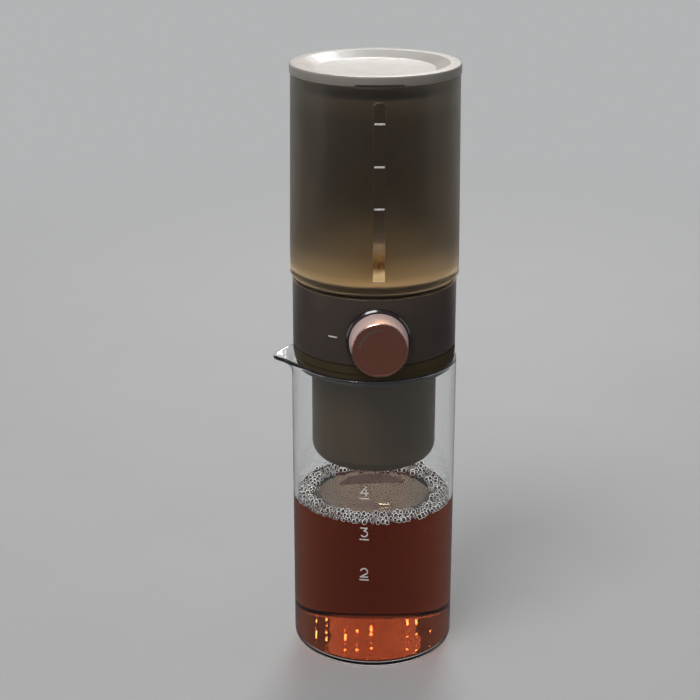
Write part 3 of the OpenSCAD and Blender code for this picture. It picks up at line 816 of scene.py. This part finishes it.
class Palette:
    """Every finish of the object, made once."""

    def __init__(self) -> None:
        """Makes the finishes. Of each pair of colours the first is the brighter."""
        along_z, along_y = (1.0, 1.0, 12.0), (1.0, 8.0, 1.0)
        self.glass = ClearGlass().make()
        self.wet_glass = ClearGlass("wet_glass", ior=1.12, edge=0.0).make()
        # The rim's glass carries the painted highlight further in from its edges, at every height.
        self.highlit_rim_glass = ClearGlass("highlit_rim_glass", edge_from=0.5, edge_below=1.0).make()
        self.coffee = BrewedCoffee("coffee_body", 1.0).make()
        self.coffee_top = BrewedCoffee("coffee_surface", 1.22, 0.04 * MM).make()
        self.froth = Froth().make()
        self.frosted = FrostedTank().make()
        self.window = ClearWindow().make()
        self.satin = SmokyPlastic("smoky_satin", (0.062, 0.044, 0.024), (0.048, 0.034, 0.018), 0.42,
                                  grain=0.008 * MM, specular=0.06).make()
        self.gloss = SmokyPlastic("smoky_gloss", (0.066, 0.051, 0.043), (0.050, 0.039, 0.033), 0.18,
                                  coat=0.08, specular=0.2).make()
        # The lid's smoky gloss, made far paler than the housing's: the paleness is painted sheen of the bright
        # surroundings on its top.
        self.lid = SmokyPlastic("lid_gloss_and_sheen", (0.25, 0.23, 0.205), (0.215, 0.197, 0.176), 0.36,
                                coat=0.05, specular=0.25).make()
        # A pale copy of the tank's smoky plastic for its floor, so that the floor reads as lit: a painted glow.
        self.tank_floor = SmokyPlastic("tank_floor", (0.60, 0.50, 0.34), (0.52, 0.43, 0.29), 0.35, coat=0.2).make()
        self.silicone = SmokyPlastic("silicone", (0.030, 0.030, 0.032), (0.022, 0.022, 0.024), 0.55,
                                     grain=0.01 * MM).make()
        self.black = SmokyPlastic("black_plastic", (0.014, 0.010, 0.015), (0.008, 0.006, 0.010), 0.2,
                                  coat=0.6).make()
        self.steel = SpunMetal("stainless", (0.66, 0.66, 0.67), (0.50, 0.50, 0.51), 0.28, along_z).make()
        self.brass = SpunMetal("brass", (0.83, 0.61, 0.28), (0.62, 0.42, 0.16), 0.25, (1.0, 1.0, 10.0)).make()
        self.knob_side = SpunMetal("rose_gold", (0.86, 0.66, 0.63), (0.78, 0.57, 0.54), 0.36, along_y,
                                   metal=0.4).make()
        # The face's darker, redder rose gold is partly its spun finish and partly painted shade.
        self.spun_face_and_shade = SpunFace("rose_gold_face", (0.70, 0.32, 0.22), (0.54, 0.235, 0.16), 0.2015).make()
        self.knob_ring = SpunMetal("rose_gold_bevel", (0.62, 0.40, 0.34), (0.46, 0.28, 0.23), 0.28,
                                   along_y).make()
        self.white = Ink("printed_white", (0.80, 0.76, 0.74), (0.55, 0.52, 0.50)).make()
        self.engraving = Ink("dial_engraving", (0.13, 0.08, 0.07), (0.09, 0.055, 0.05)).make()


@dataclass
class Carafe:
    """The glass carafe with its spout, printed scale, coffee and froth."""

    wall: float = 2.2 * MM
    base: float = 3.5 * MM
    foot: float = 5.0 * MM
    inner_foot: float = 2.8 * MM
    flat_edge: float = 0.3 * MM
    spout_height: float = 9.5 * MM
    spout_spread: float = 36.0
    spout_curve: float = 2.6
    spout_rows: int = 14
    spout_droop: float = 2.0 * MM
    droop_curve: float = 1.5
    tip_round: float = 3.0
    tip_more: float = 0.06 * MM
    segments: int = 360
    wall_rows: int = 8
    wet_rows: int = 4
    foot_steps: int = 10
    lip_steps: int = 8
    lip_plain: int = 3
    # The coffee and its surface.
    overlap: float = 0.06 * MM
    corner_steps: int = 12
    side_rows: int = 6
    meniscus: float = 0.7 * MM
    climb: float = 3.0 * MM
    climb_steps: tuple[float, ...] = (0.0, 0.15, 0.35, 0.6, 1.0, 1.6, 2.4)
    climb_fall: float = 2.2
    froth_heave: float = 0.55 * MM
    heave_steps: int = 8
    heave_from: float = 1.04
    heave_step: float = 0.02
    level_rings: tuple[float, ...] = (0.5, 0.25, 0.0)
    surface_skin: float = 0.02 * MM
    clear_radius: float = 34.5 * MM
    # The froth's band, with its waves in millimetres, and its bubbles.
    band_steps: int = 120
    band_more: float = 4.5 * MM
    band_curve: float = 2.5
    band_waves: tuple[Corner, ...] = ((0.7, 5.0, 1.0), (0.5, 11.0, 0.0))
    band_low: float = 0.5 * MM
    band_high: float = 5.0 * MM
    smallest_bubble: float = 0.5 * MM
    largest_bubble: float = 1.5 * MM
    bubble_spacing: float = 2.0 * MM
    bubble_pile: float = 0.6 * MM
    froth_seed: int = 7

    def __post_init__(self) -> None:
        """Reads the carafe's place from the frame."""
        low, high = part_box("glass_carafe")
        self.radius = high.x
        self.height = high.z
        self.reach = -low.x - high.x
        self.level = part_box("coffee")[1].z
        self.wet_z = self.level + self.froth_heave + self.meniscus

    def spout(self, angle: float, z: float) -> Vector:
        """Gives a point of the outer wall.

        Args:
            angle: The angle from the spout's middle, in radians.
            z: The height on the plain wall.

        Returns:
            The point, with the spout's pull on it.
        """
        up = max(0.0, 1.0 - (self.height - self.wall / 2 - z) / self.spout_height)
        spread = math.radians(self.spout_spread)
        soft = math.sqrt(angle * angle + math.radians(self.tip_round) ** 2)
        flank = max(0.0, 1.0 / math.cos(max(0.0, spread - soft)) - 1.0)
        peak = 1.0 / math.cos(spread - math.radians(self.tip_round)) - 1.0
        pull = (self.reach - self.wall / 2 + self.tip_more) * flank / peak * up ** self.spout_curve
        droop = self.spout_droop * (pull / self.reach) ** self.droop_curve
        radius = self.radius + pull
        return Vector((-radius * math.cos(angle), -radius * math.sin(angle), z - droop))

    def glass(self) -> bpy.types.Object:
        """Builds the carafe as one closed wall with a rounded rim.

        Returns:
            The carafe.
        """
        angles = [2 * math.pi * i / self.segments - math.pi for i in range(self.segments)]
        lip_z = self.height - self.wall / 2
        top = [lip_z - self.spout_height, *between(lip_z - self.spout_height, lip_z, self.spout_rows), lip_z]
        foot_outer = arc((self.radius - self.foot, self.foot), self.foot, -90.0, 0.0, self.foot_steps)
        inner_radius, low_inner = self.radius - self.wall, self.base + self.inner_foot
        foot_inner = arc((inner_radius - self.inner_foot, low_inner), self.inner_foot, 0.0, -90.0, self.foot_steps)
        step = 1e-5

        def inward(a: float, z: float) -> Vector:
            """Gives the wall's inward normal at a point of the outer wall."""
            here = self.spout(a, z)
            along = self.spout(a + step, z) - here
            rise = self.spout(a, z + step) - here
            normal = along.cross(rise).normalized()
            return normal if normal.dot(Vector((here.x, here.y, 0.0))) < 0 else -normal

        def plain(radius: float, z: float) -> list[Vector]:
            """Gives a plain ring of the wall."""
            return [Vector((-radius * math.cos(a), -radius * math.sin(a), z)) for a in angles]

        outer_top = [[self.spout(a, z) for a in angles] for z in top]
        inner_top = [[self.spout(a, z) + inward(a, z) * self.wall for a in angles] for z in top]
        lip = []
        for turn in between(0.0, math.pi, self.lip_steps):
            ring = []
            for a, outer, inner in zip(angles, outer_top[-1], inner_top[-1]):
                rise = (self.spout(a, top[-1]) - self.spout(a, top[-1] - step)).normalized()
                ring.append((outer + inner) / 2 + (outer - inner) / 2 * math.cos(turn)
                            + rise * self.wall / 2 * math.sin(turn))
            lip.append(ring)
        rings = [plain(foot_outer[0][0] - self.flat_edge, foot_outer[0][1])]
        rings += [plain(r, z) for r, z in foot_outer]
        rings += [plain(self.radius, z) for z in between(self.foot, top[0], self.wall_rows)]
        rings += outer_top + lip + inner_top[::-1]
        inner_heights = [*between(top[0], self.wet_z, self.wet_rows), self.wet_z]
        inner_heights += between(self.wet_z, low_inner, self.wet_rows)
        rings += [plain(inner_radius, z) for z in inner_heights]
        rings += [plain(r, z) for r, z in foot_inner]
        rings.append(plain(foot_inner[-1][0] - self.flat_edge, foot_inner[-1][1]))

        def fill(bm: bmesh.types.BMesh) -> None:
            """Fills the mesh from the outer pole to the inner one."""
            loops = [[bm.verts.new((0.0, 0.0, 0.0))]]
            loops += [[bm.verts.new(p) for p in ring] for ring in rings]
            loops += [[bm.verts.new((0.0, 0.0, self.base))]]
            for low, high in zip(loops, loops[1:]):
                bridge(bm, low, high)

        glass = solid("carafe_glass", fill)
        for face in glass.data.polygons:
            reach = math.hypot(face.center.x, face.center.y)
            inside = reach < inner_radius + self.wall / 4 and face.center.z > self.base * 0.9
            face.material_index = 1 if inside and face.center.z < self.wet_z else 0
        # The rim's faces take the glass with the stronger painted highlight.
        rim = len(foot_outer) + self.wall_rows + len(top)
        for face in glass.data.polygons[rim * self.segments:(rim + len(lip) - self.lip_plain) * self.segments]:
            face.material_index = 2
        return glass

    def brew(self) -> bpy.types.Object:
        """Builds the coffee, with its surface drawn up a little at the glass.

        Its sides lie a hair inside the glass, as a liquid's do to the eye, so that no air shows between them.

        Returns:
            The coffee.
        """
        radius = self.radius - self.wall + self.overlap
        low = self.base - self.overlap
        foot, heave = self.inner_foot, self.froth_heave
        outline = [(0.0, low), *arc((radius - foot, low + foot), foot, -90.0, 0.0, self.corner_steps)]
        outline += [(radius, z) for z in between(low + foot, self.level, self.side_rows)]
        outline += [(radius - self.climb * s, self.level + heave + self.meniscus * math.exp(-self.climb_fall * s))
                    for s in self.climb_steps]
        slope = [0.5 + 0.5 * math.cos(math.pi * i / self.heave_steps) for i in range(self.heave_steps + 1)]
        outline += [(self.clear_radius * (self.heave_from - self.heave_step * i), self.level + heave * s)
                    for i, s in enumerate(slope)]
        outline += [(radius * share, self.level) for share in self.level_rings]
        brew = lathe("coffee_brew", outline, closed=False)
        for face in brew.data.polygons:
            face.material_index = 1 if face.center.z > self.level - self.surface_skin else 0
        return brew

    def froth_band(self) -> bpy.types.Object:
        """Builds the band on which the bubbles lie: flat on the coffee, and up the glass on both sides behind.

        Returns:
            The band, which the bubbles replace.
        """
        outer = self.radius - self.wall - self.largest_bubble
        low = self.level + self.froth_heave

        def fill(bm: bmesh.types.BMesh) -> None:
            """Fills the mesh with a flat ring of faces and an upright one."""
            edge, inside, crest = [], [], []
            for i in range(self.band_steps):
                a = 2 * math.pi * i / self.band_steps
                x, y = math.cos(a), math.sin(a)
                near = self.clear_radius - self.band_more * abs(y) ** self.band_curve
                near -= sum(depth * math.sin(count * a + start) for depth, count, start in self.band_waves) * MM
                climb = self.band_low + self.band_high * max(0.0, y) * abs(math.sin(2 * a))
                edge.append(bm.verts.new((outer * x, outer * y, low)))
                inside.append(bm.verts.new((near * x, near * y, low)))
                crest.append(bm.verts.new((outer * x, outer * y, low + climb)))
            bridge(bm, inside, edge)
            bridge(bm, edge, crest)

        return solid("froth_bubbles", fill)

    def froth(self, material: bpy.types.Material) -> bpy.types.Object:
        """Scatters bubbles of two sizes over the band with Geometry Nodes.

        Args:
            material: The bubbles' finish.

        Returns:
            The bubbles as one plain mesh.
        """
        band = self.froth_band()
        tree = bubble_tree()
        modifier = band.modifiers.new("bubbles", "NODES")
        modifier.node_group = tree
        values = {"Spacing": self.bubble_spacing, "Smallest": self.smallest_bubble, "Largest": self.largest_bubble,
                  "Pile": self.bubble_pile, "Seed": self.froth_seed, "Material": material}
        for item in tree.interface.items_tree:
            if item.item_type == "SOCKET" and item.in_out == "INPUT" and item.name in values:
                modifier[item.identifier] = values[item.name]
        baked(band)
        bpy.data.node_groups.remove(tree)
        dress(band, material)
        return band

    def build(self, palette: Palette) -> None:
        """Builds and dresses the carafe and what is in it."""
        glass = self.glass()
        dress(glass, palette.glass, palette.wet_glass, palette.highlit_rim_glass)
        settle(glass, Body.CARAFE, Slot.CLEAR_GLASS, "glass_carafe")
        brew = self.brew()
        dress(brew, palette.coffee, palette.coffee_top)
        settle(brew, Body.CARAFE, Slot.COFFEE, "coffee")
        froth = self.froth(palette.froth)
        settle(froth, Body.CARAFE, Slot.COFFEE)


def bubble_tree(density: float = 2.0e6, skew: float = 1.3, segments: int = 8,
                rings: int = 6) -> bpy.types.GeometryNodeTree:
    """Makes the node tree that scatters bubbles over a face.

    Args:
        density: The most bubbles in a square metre.
        skew: How far the sizes lean towards the small ones. At 1 they don't.
        segments: The steps round each bubble.
        rings: The steps from its foot to its top.

    Returns:
        The tree, with its spacing, sizes, pile height, seed and material as inputs.
    """
    tree = bpy.data.node_groups.new("bubbles", "GeometryNodeTree")
    kinds = {"Geometry": "Geometry", "Spacing": "Float", "Smallest": "Float", "Largest": "Float", "Pile": "Float",
             "Seed": "Int", "Material": "Material"}
    for name, kind in kinds.items():
        tree.interface.new_socket(name, in_out="INPUT", socket_type=f"NodeSocket{kind}")
    tree.interface.new_socket("Geometry", in_out="OUTPUT", socket_type="NodeSocketGeometry")
    given = tree.nodes.new("NodeGroupInput").outputs
    scatter = wired(tree, "GeometryNodeDistributePointsOnFaces", distribute_method="POISSON", inputs={
        "Mesh": given["Geometry"], "Distance Min": given["Spacing"], "Density Max": density, "Seed": given["Seed"]})
    size = wired(tree, "FunctionNodeRandomValue", {"Seed": given["Seed"]})
    leaning = wired(tree, "ShaderNodeMath", {0: size.outputs[1], 1: skew}, operation="POWER")
    grow = wired(tree, "ShaderNodeMapRange", {
        "Value": leaning.outputs[0], "To Min": given["Smallest"], "To Max": given["Largest"]})
    seed = wired(tree, "ShaderNodeMath", {0: given["Seed"], 1: 5.0}, operation="ADD")
    rise = wired(tree, "FunctionNodeRandomValue", {"ID": 3, 3: given["Pile"], "Seed": seed.outputs[0]})
    lift = wired(tree, "ShaderNodeCombineXYZ", {"Z": rise.outputs[1]})
    move = wired(tree, "GeometryNodeSetPosition", {
        "Geometry": scatter.outputs["Points"], "Offset": lift.outputs[0]})
    ball = wired(tree, "GeometryNodeMeshUVSphere", {"Segments": segments, "Rings": rings, "Radius": 1.0})
    smooth = wired(tree, "GeometryNodeSetShadeSmooth", {"Geometry": ball.outputs["Mesh"]})
    copies = wired(tree, "GeometryNodeInstanceOnPoints", {
        "Points": move.outputs[0], "Instance": smooth.outputs[0], "Scale": grow.outputs["Result"]})
    real = wired(tree, "GeometryNodeRealizeInstances", {0: copies.outputs[0]})
    paint = wired(tree, "GeometryNodeSetMaterial", {"Geometry": real.outputs[0], "Material": given["Material"]})
    wired(tree, "NodeGroupOutput", {0: paint.outputs[0]})
    return tree


@dataclass
class Tank:
    """The frosted water tank, its clear window and its floor."""

    reveal: float = 2.8 * MM
    draft: float = 1.4 * MM
    wall: float = 2.0 * MM
    floor: float = 2.5 * MM
    corner: float = 4.0 * MM
    tube_bore: float = 2.5 * MM
    tube: float = 6.0 * MM
    neck_in: float = 2.5 * MM
    spigot_in: float = 3.8 * MM
    spigot_wall: float = 3.4 * MM
    spigot_depth: float = 3.7 * MM
    window_width: float = 6.4 * MM
    window_play: float = 0.05 * MM
    floor_margin: float = 3.4 * MM
    floor_below: float = 0.2 * MM
    floor_above: float = 0.5 * MM

    def __post_init__(self) -> None:
        """Reads the tank's place from the frame."""
        self.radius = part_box("water_tank")[1].x
        self.mouth_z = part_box("water_tank")[1].z
        self.foot_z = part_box("valve_housing")[1].z + self.reveal
        self.window_low, self.window_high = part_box("level_window")[0].z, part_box("level_window")[1].z
        self.seat_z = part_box("water_tank")[0].z

    def shell(self) -> bpy.types.Object:
        """Builds the tank with its floor, its spigot in the housing and its outlet tube.

        Returns:
            The tank, without the window's slot.
        """
        inner = self.radius - self.wall
        mouth = self.radius - self.draft
        neck = self.radius - self.neck_in
        spigot = self.radius - self.spigot_in
        hollow = spigot - self.spigot_wall
        housing_top = self.foot_z - self.reveal
        spigot_z = housing_top - self.spigot_depth
        floor_top = self.foot_z + self.floor
        soft = 0.3 * MM
        outline = filleted([
            (self.tube_bore, self.seat_z, 0.0),
            (self.tube, self.seat_z, soft),
            (self.tube, self.foot_z, soft),
            (hollow, self.foot_z, soft),
            (hollow, spigot_z, soft),
            (spigot, spigot_z, soft),
            (spigot, housing_top + soft, 0.0),
            (neck, housing_top + soft, 0.2 * MM),
            (neck, self.foot_z, 0.2 * MM),
            (self.radius, self.foot_z, 1.1 * MM),
            (mouth, self.mouth_z, 0.5 * MM),
            (mouth - self.wall, self.mouth_z, 0.4 * MM),
            (inner, floor_top, self.corner),
            (self.tube_bore, floor_top, 0.0),
        ])
        return lathe("tank_shell", outline, FINE_TURN)

    def slot(self, inset: float) -> bpy.types.Object:
        """Builds the upright shape of the window, square at the foot and round at the head.

        Args:
            inset: How far it lies inside the slot's edge.

        Returns:
            The shape, from the axis out past the wall.
        """
        half = self.window_width / 2 - inset
        head = self.window_high + self.window_play - self.window_width / 2
        foot = self.window_low - self.window_play + inset
        return prism("slot_shape", [(-half, foot), (half, foot), *arc((0.0, head), half, 0.0, 180.0, 15)],
                     -self.radius * 0.6, -self.radius * 1.2)

    def window(self) -> bpy.types.Object:
        """Builds the clear strip, flush with the wall on both sides.

        Returns:
            The strip.
        """
        inner = self.radius - self.wall
        mouth = self.radius - self.draft
        strip = lathe("level_strip", [(inner, self.foot_z), (self.radius, self.foot_z), (mouth, self.mouth_z),
                                      (mouth - self.wall, self.mouth_z)], FINE_TURN)
        return carved(strip, self.slot(self.window_play), "INTERSECT")

    def build(self, palette: Palette) -> None:
        """Builds and dresses the tank."""
        shell = carved(self.shell(), self.slot(0.0))
        dress(shell, palette.frosted, palette.tank_floor)
        # The floor's faces take the pale floor finish: a painted glow.
        low, high = self.foot_z + self.floor - self.floor_below, self.foot_z + self.floor + self.floor_above
        for face in shell.data.polygons:
            inside = math.hypot(face.center.x, face.center.y) < self.radius - self.floor_margin
            face.material_index = 1 if low < face.center.z < high and inside else 0
        settle(shell, Body.TANK, Slot.FROSTED_SMOKE, "water_tank")
        strip = self.window()
        dress(strip, palette.window)
        settle(strip, Body.TANK, Slot.CLEAR_SMOKE, "level_window")


@dataclass
class Lid:
    """The dished lid with its raised rim and thumb notch."""

    rim: float = 6.2 * MM
    slope: float = 7.6 * MM
    dish: float = 3.2 * MM
    edge: float = 5.2 * MM
    skin: float = 1.8 * MM
    plug_in: float = 4.3 * MM
    plug_wall: float = 2.4 * MM
    seal_depth: float = 1.65 * MM
    seal_play: float = 0.05 * MM
    notch_width: float = 26.0 * MM
    notch_height: float = 1.2 * MM
    notch_depth: float = 2.4 * MM
    notch_corner: float = 1.2 * MM

    def build(self, palette: Palette) -> None:
        """Builds and dresses the lid."""
        low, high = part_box("lid")
        seal_low, seal_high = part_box("lid_seal")
        radius, top = high.x, high.z
        under = top - self.edge
        floor_r = radius - self.rim - self.slope
        plug_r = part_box("water_tank")[1].x - self.plug_in
        seal_bed = seal_high.x - self.seal_depth
        outline = filleted([
            (0.0, top - self.dish - self.skin, 0.0),
            (plug_r - self.plug_wall, top - self.dish - self.skin, 0.8 * MM),
            (plug_r - self.plug_wall, low.z, 0.4 * MM),
            (plug_r, low.z, 0.4 * MM),
            (plug_r, seal_low.z - self.seal_play, 0.1 * MM),
            (seal_bed, seal_low.z - self.seal_play, 0.0),
            (seal_bed, seal_high.z + self.seal_play, 0.0),
            (plug_r, seal_high.z + self.seal_play, 0.1 * MM),
            (plug_r, under, 0.3 * MM),
            (radius, under, 0.35 * MM),
            (radius, top, 1.0 * MM),
            (radius - self.rim, top, 0.9 * MM),
            (floor_r, top - self.dish, 1.6 * MM),
            (0.0, top - self.dish, 0.0),
        ])
        lid = lathe("lid_dish", outline, FINE_TURN, closed=False)
        depth = math.sqrt((radius - self.notch_depth) ** 2 - (self.notch_width / 2) ** 2)
        half, rise = self.notch_width / 2, self.notch_height
        low_z, bend_z, high_z = under - rise, under + rise * 0.4, under + rise
        notch = [(-half, low_z), (half, low_z), (half, bend_z), (half - self.notch_corner, high_z),
                 (-half + self.notch_corner, high_z), (-half, bend_z)]
        carved(lid, prism("notch_shape", notch, -depth, -radius - MM))
        dress(lid, palette.lid)
        settle(lid, Body.LID, Slot.SMOKY_GLOSS, "lid")


@dataclass
class Housing:
    """The glossy ring that holds the valve, with its deck and the bore behind the knob."""

    wall: float = 2.2 * MM
    seat: float = 4.0 * MM
    deck: float = 2.4 * MM
    socket: float = 6.3 * MM
    bore: float = 7.55 * MM
    lower_edge: float = 1.4 * MM
    upper_edge: float = 0.5 * MM

    def build(self, palette: Palette) -> None:
        """Builds and dresses the housing's ring and deck."""
        low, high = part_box("valve_housing")
        radius, inner = high.x, high.x - self.wall
        deck_top = high.z - self.seat
        outline = filleted([
            (inner, low.z, 0.3 * MM),
            (radius, low.z, self.lower_edge),
            (radius, high.z, self.upper_edge),
            (inner, high.z, 0.3 * MM),
            (inner, deck_top, 0.5 * MM),
            (self.socket, deck_top, 0.2 * MM),
            (self.socket, deck_top - self.deck, 0.2 * MM),
            (inner, deck_top - self.deck, 0.8 * MM),
        ], 5)
        ring = lathe("housing_ring", outline, FINE_TURN)
        axis_z = (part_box("knob_cap")[0].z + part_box("knob_cap")[1].z) / 2
        cutter = lathe("bore_shape", [(0.0, 0.0), (self.bore, 0.0), (self.bore, radius + MM), (0.0, radius + MM)],
                       64, closed=False)
        carved(ring, turned_to_front(cutter, axis_z))
        dress(ring, palette.gloss)
        settle(ring, Body.HOUSING, Slot.SMOKY_GLOSS, "valve_housing")


@dataclass
class Knob:
    """The rose gold cap of the knob."""

    skin: float = 1.2 * MM
    flare: float = 0.9 * MM
    bevel: float = 0.55 * MM
    face_step: float = 0.25 * MM
    face_margin: float = 0.95 * MM

    def build(self, palette: Palette) -> None:
        """Builds and dresses the cap: a bright side, a bronze bevel and a dark spun face, whose darkness is partly
        painted shade.
        """
        low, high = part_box("knob_cap")
        rear_radius = (high.x - low.x) / 2
        radius = rear_radius - self.flare
        axis_z = (low.z + high.z) / 2
        rear, front = -high.y, -low.y
        outline = filleted([
            (radius - self.skin, rear, 0.15 * MM),
            (rear_radius, rear, 0.35 * MM),
            (radius, front - self.bevel, 0.3 * MM),
            (radius - self.bevel, front, 0.25 * MM),
            (radius - self.face_margin, front, 0.1 * MM),
            (radius - self.face_margin - self.face_step, front - self.face_step / 2, 0.1 * MM),
            (0.0, front - self.face_step / 2, 0.0),
            (0.0, front - self.skin, 0.0),
            (radius - self.skin, front - self.skin, 0.3 * MM),
        ])
        cap = lathe("knob_shell", outline, 160)
        face_r = radius - self.face_margin
        for face in cap.data.polygons:
            reach = math.hypot(face.center.x, face.center.y)
            on_front = face.center.z > front - self.bevel - 0.1 * MM and reach > radius - self.skin
            on_face = face.center.z > front - self.skin / 2 and reach < face_r
            face.material_index = 1 if on_face else 2 if on_front else 0
        turned_to_front(cap, axis_z)
        dress(cap, palette.knob_side, palette.spun_face_and_shade, palette.knob_ring)
        settle(cap, Body.KNOB, Slot.ROSE_GOLD, "knob_cap")


# --- Studio ---


@dataclass(frozen=True)
class Softbox:
    """A rectangular lamp that points at the object.

    The camera doesn't see it, and with in_glass off it doesn't show through glass either.
    """

    name: str
    azimuth: float
    elevation: float
    distance: float
    width: float
    height: float
    brightness: float
    colour: Colour = (1.0, 1.0, 1.0)
    in_glass: bool = True

    def build(self, aim: Vector) -> None:
        """Places the lamp.

        Args:
            aim: The point that it faces.
        """
        lamp = bpy.data.lights.new(self.name, "AREA")
        lamp.shape = "RECTANGLE"
        lamp.size, lamp.size_y = self.width, self.height
        lamp.energy = math.pi * self.brightness * self.width * self.height
        lamp.color = self.colour
        obj = bpy.data.objects.new(self.name, lamp)
        bpy.context.scene.collection.objects.link(obj)
        back = direction(self.azimuth, self.elevation)
        obj.location = aim + back * self.distance
        obj.rotation_euler = back.to_track_quat("Z", "Y").to_euler()
        obj.visible_camera = False
        obj.visible_transmission = self.in_glass


def direction(azimuth: float, elevation: float) -> Vector:
    """Gives the unit vector from the object towards a viewer.

    Args:
        azimuth: Degrees round from the front, positive towards +X.
        elevation: Degrees above the horizon.

    Returns:
        The vector.
    """
    a, e = math.radians(azimuth), math.radians(elevation)
    return Vector((math.sin(a) * math.cos(e), -math.cos(a) * math.cos(e), math.sin(e)))


@dataclass
class Studio:
    """The floor, the lamps, the surroundings and the camera."""

    pitch: float = 20.0
    azimuth: float = -2.0
    focal_px: float = 1600.0
    distance: float = 904.7 * MM
    aim_z: float = 179.5 * MM
    axis_px: float = 374.0
    surroundings: Surroundings = Surroundings()
    ambient: float = 0.33
    overhead: float = 0.9
    spark_seed: int = 4
    spark_rows: tuple[float, ...] = (22.5, 23.3, 24.1, 24.9)
    spark_columns: tuple[float, ...] = (-27.0, -20.0, -13.0, -7.0, -1.0, 6.0, 12.0, 19.0, 26.0)
    spark_gaps: float = 0.3
    behind: float = 178.0
    half_floor: float = 14.0
    bounces: int = 24

    def camera(self) -> None:
        """Places the camera at the photograph's viewing angle."""
        back = direction(self.azimuth, self.pitch)
        right = Vector((math.cos(math.radians(self.azimuth)), math.sin(math.radians(self.azimuth)), 0.0))
        aside = (self.axis_px - FRAME_PX / 2) / self.focal_px * self.distance
        data = bpy.data.cameras.new("camera")
        data.sensor_width = SENSOR
        data.lens = self.focal_px / FRAME_PX * SENSOR
        data.clip_start = 0.01
        data.clip_end = 60.0
        obj = bpy.data.objects.new("camera", data)
        bpy.context.scene.collection.objects.link(obj)
        obj.location = Vector((0.0, 0.0, self.aim_z)) + back * self.distance - right * aside
        obj.rotation_euler = back.to_track_quat("Z", "Y").to_euler()
        bpy.context.scene.camera = obj

    def floor(self) -> None:
        """Lays the pale floor."""
        half = self.half_floor

        def fill(bm: bmesh.types.BMesh) -> None:
            """Fills the mesh with one face."""
            bm.faces.new([bm.verts.new((x, y, -0.05 * MM)) for x, y in
                          ((-half, -half), (half, -half), (half, half), (-half, half))])

        ground = solid("studio_ground", fill)
        dress(ground, Paper(self.surroundings).make())

    def world(self) -> None:
        """Makes the surroundings: what is seen of them, and the even light that they give."""
        r = Recipe("surroundings", world=True)
        way = r.add("ShaderNodeTexCoord").outputs["Generated"]
        back = r.maths("MULTIPLY_ADD", r.along(way, "Z"), self.overhead, r.along(way, "Y"))
        seen = r.add("ShaderNodeBackground", {"Color": self.surroundings.seen(r, back)})
        light = r.add("ShaderNodeBackground", {"Color": WHITE, "Strength": self.ambient})
        bpy.context.scene.world = r.finish(r.mixed(r.seen_rays(), light, seen))

    def sparks(self) -> list[Softbox]:
        """Lays out rows of small lamps behind the object, which show in the carafe's base as sparks.

        Returns:
            The lamps.
        """
        chance = random.Random(self.spark_seed)
        lamps = []
        for row, elevation in enumerate(self.spark_rows):
            for column in self.spark_columns:
                if chance.random() < self.spark_gaps:
                    continue
                azimuth = self.behind + column + chance.uniform(-2.0, 2.0)
                height = elevation + chance.uniform(-0.12, 0.12)
                lamps.append(Softbox(f"spark_{row}_{len(lamps)}", azimuth, height, 1.33, 22.0 * MM,
                                     chance.uniform(2.0, 4.5) * MM, 30.0, (1.0, 0.76, 0.42)))
        return lamps

    def build(self) -> None:
        """Builds the whole studio."""
        self.floor()
        self.world()
        aim = Vector((0.0, 0.0, self.aim_z))
        for box in (
            Softbox("lid_light", self.behind, 16.2, 1.29, 1.7, 0.17, 0.5),
            Softbox("surface_light", self.behind, 20.7, 1.33, 1.3, 0.08, 0.6, (1.0, 0.70, 0.45)),
            Softbox("base_light", self.behind, 23.1, 1.36, 1.8, 0.088, 1.6, (1.0, 0.80, 0.58)),
            Softbox("key_light", 172.0, 40.0, 1.5, 0.45, 0.35, 26.0, in_glass=False),
            Softbox("left_light", -82.0, 12.0, 1.2, 0.3, 1.0, 1.2, in_glass=False),
            Softbox("right_light", 80.0, 12.0, 1.2, 0.3, 1.0, 0.8, in_glass=False),
            Softbox("top_light", -35.0, 62.0, 1.6, 0.6, 0.6, 13.0, in_glass=False),
            *self.sparks(),
        ):
            box.build(aim)
        self.camera()
        bpy.context.scene.view_settings.view_transform = "Standard"
        cycles = bpy.context.scene.cycles
        cycles.max_bounces = self.bounces
        cycles.transmission_bounces = self.bounces
        cycles.transparent_max_bounces = self.bounces + 8


# --- The whole object ---


def dress_nodes(palette: Palette) -> None:
    """Gives every node that stays its finish.

    Args:
        palette: The finishes.
    """
    finishes = {
        Slot.PRINTED_WHITE: palette.white,
        Slot.SMOKY_SATIN: palette.satin,
        Slot.SMOKY_GLOSS: palette.gloss,
        Slot.SILICONE: palette.silicone,
        Slot.STAINLESS: palette.steel,
        Slot.BRASS: palette.brass,
        Slot.BLACK_PLASTIC: palette.black,
        Slot.DIAL_ENGRAVING: palette.engraving,
    }
    for part in frame["record"]["subparts"]:
        node = frame["nodes"][part["node"]]
        if node.hide_render:
            continue
        dress(node, finishes[Slot(part["material_slot"])])
        LOG.info("%s is dressed in %s", node.name, part["material_slot"])


def main() -> None:
    """Builds the object and the studio."""
    logging.basicConfig(level=logging.INFO, format="%(name)s: %(message)s")
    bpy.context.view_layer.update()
    palette = Palette()
    for part in (Carafe(), Housing(), Knob(), Tank(), Lid()):
        part.build(palette)
    dress_nodes(palette)
    Studio().build()


if __name__ == "__main__":
    main()
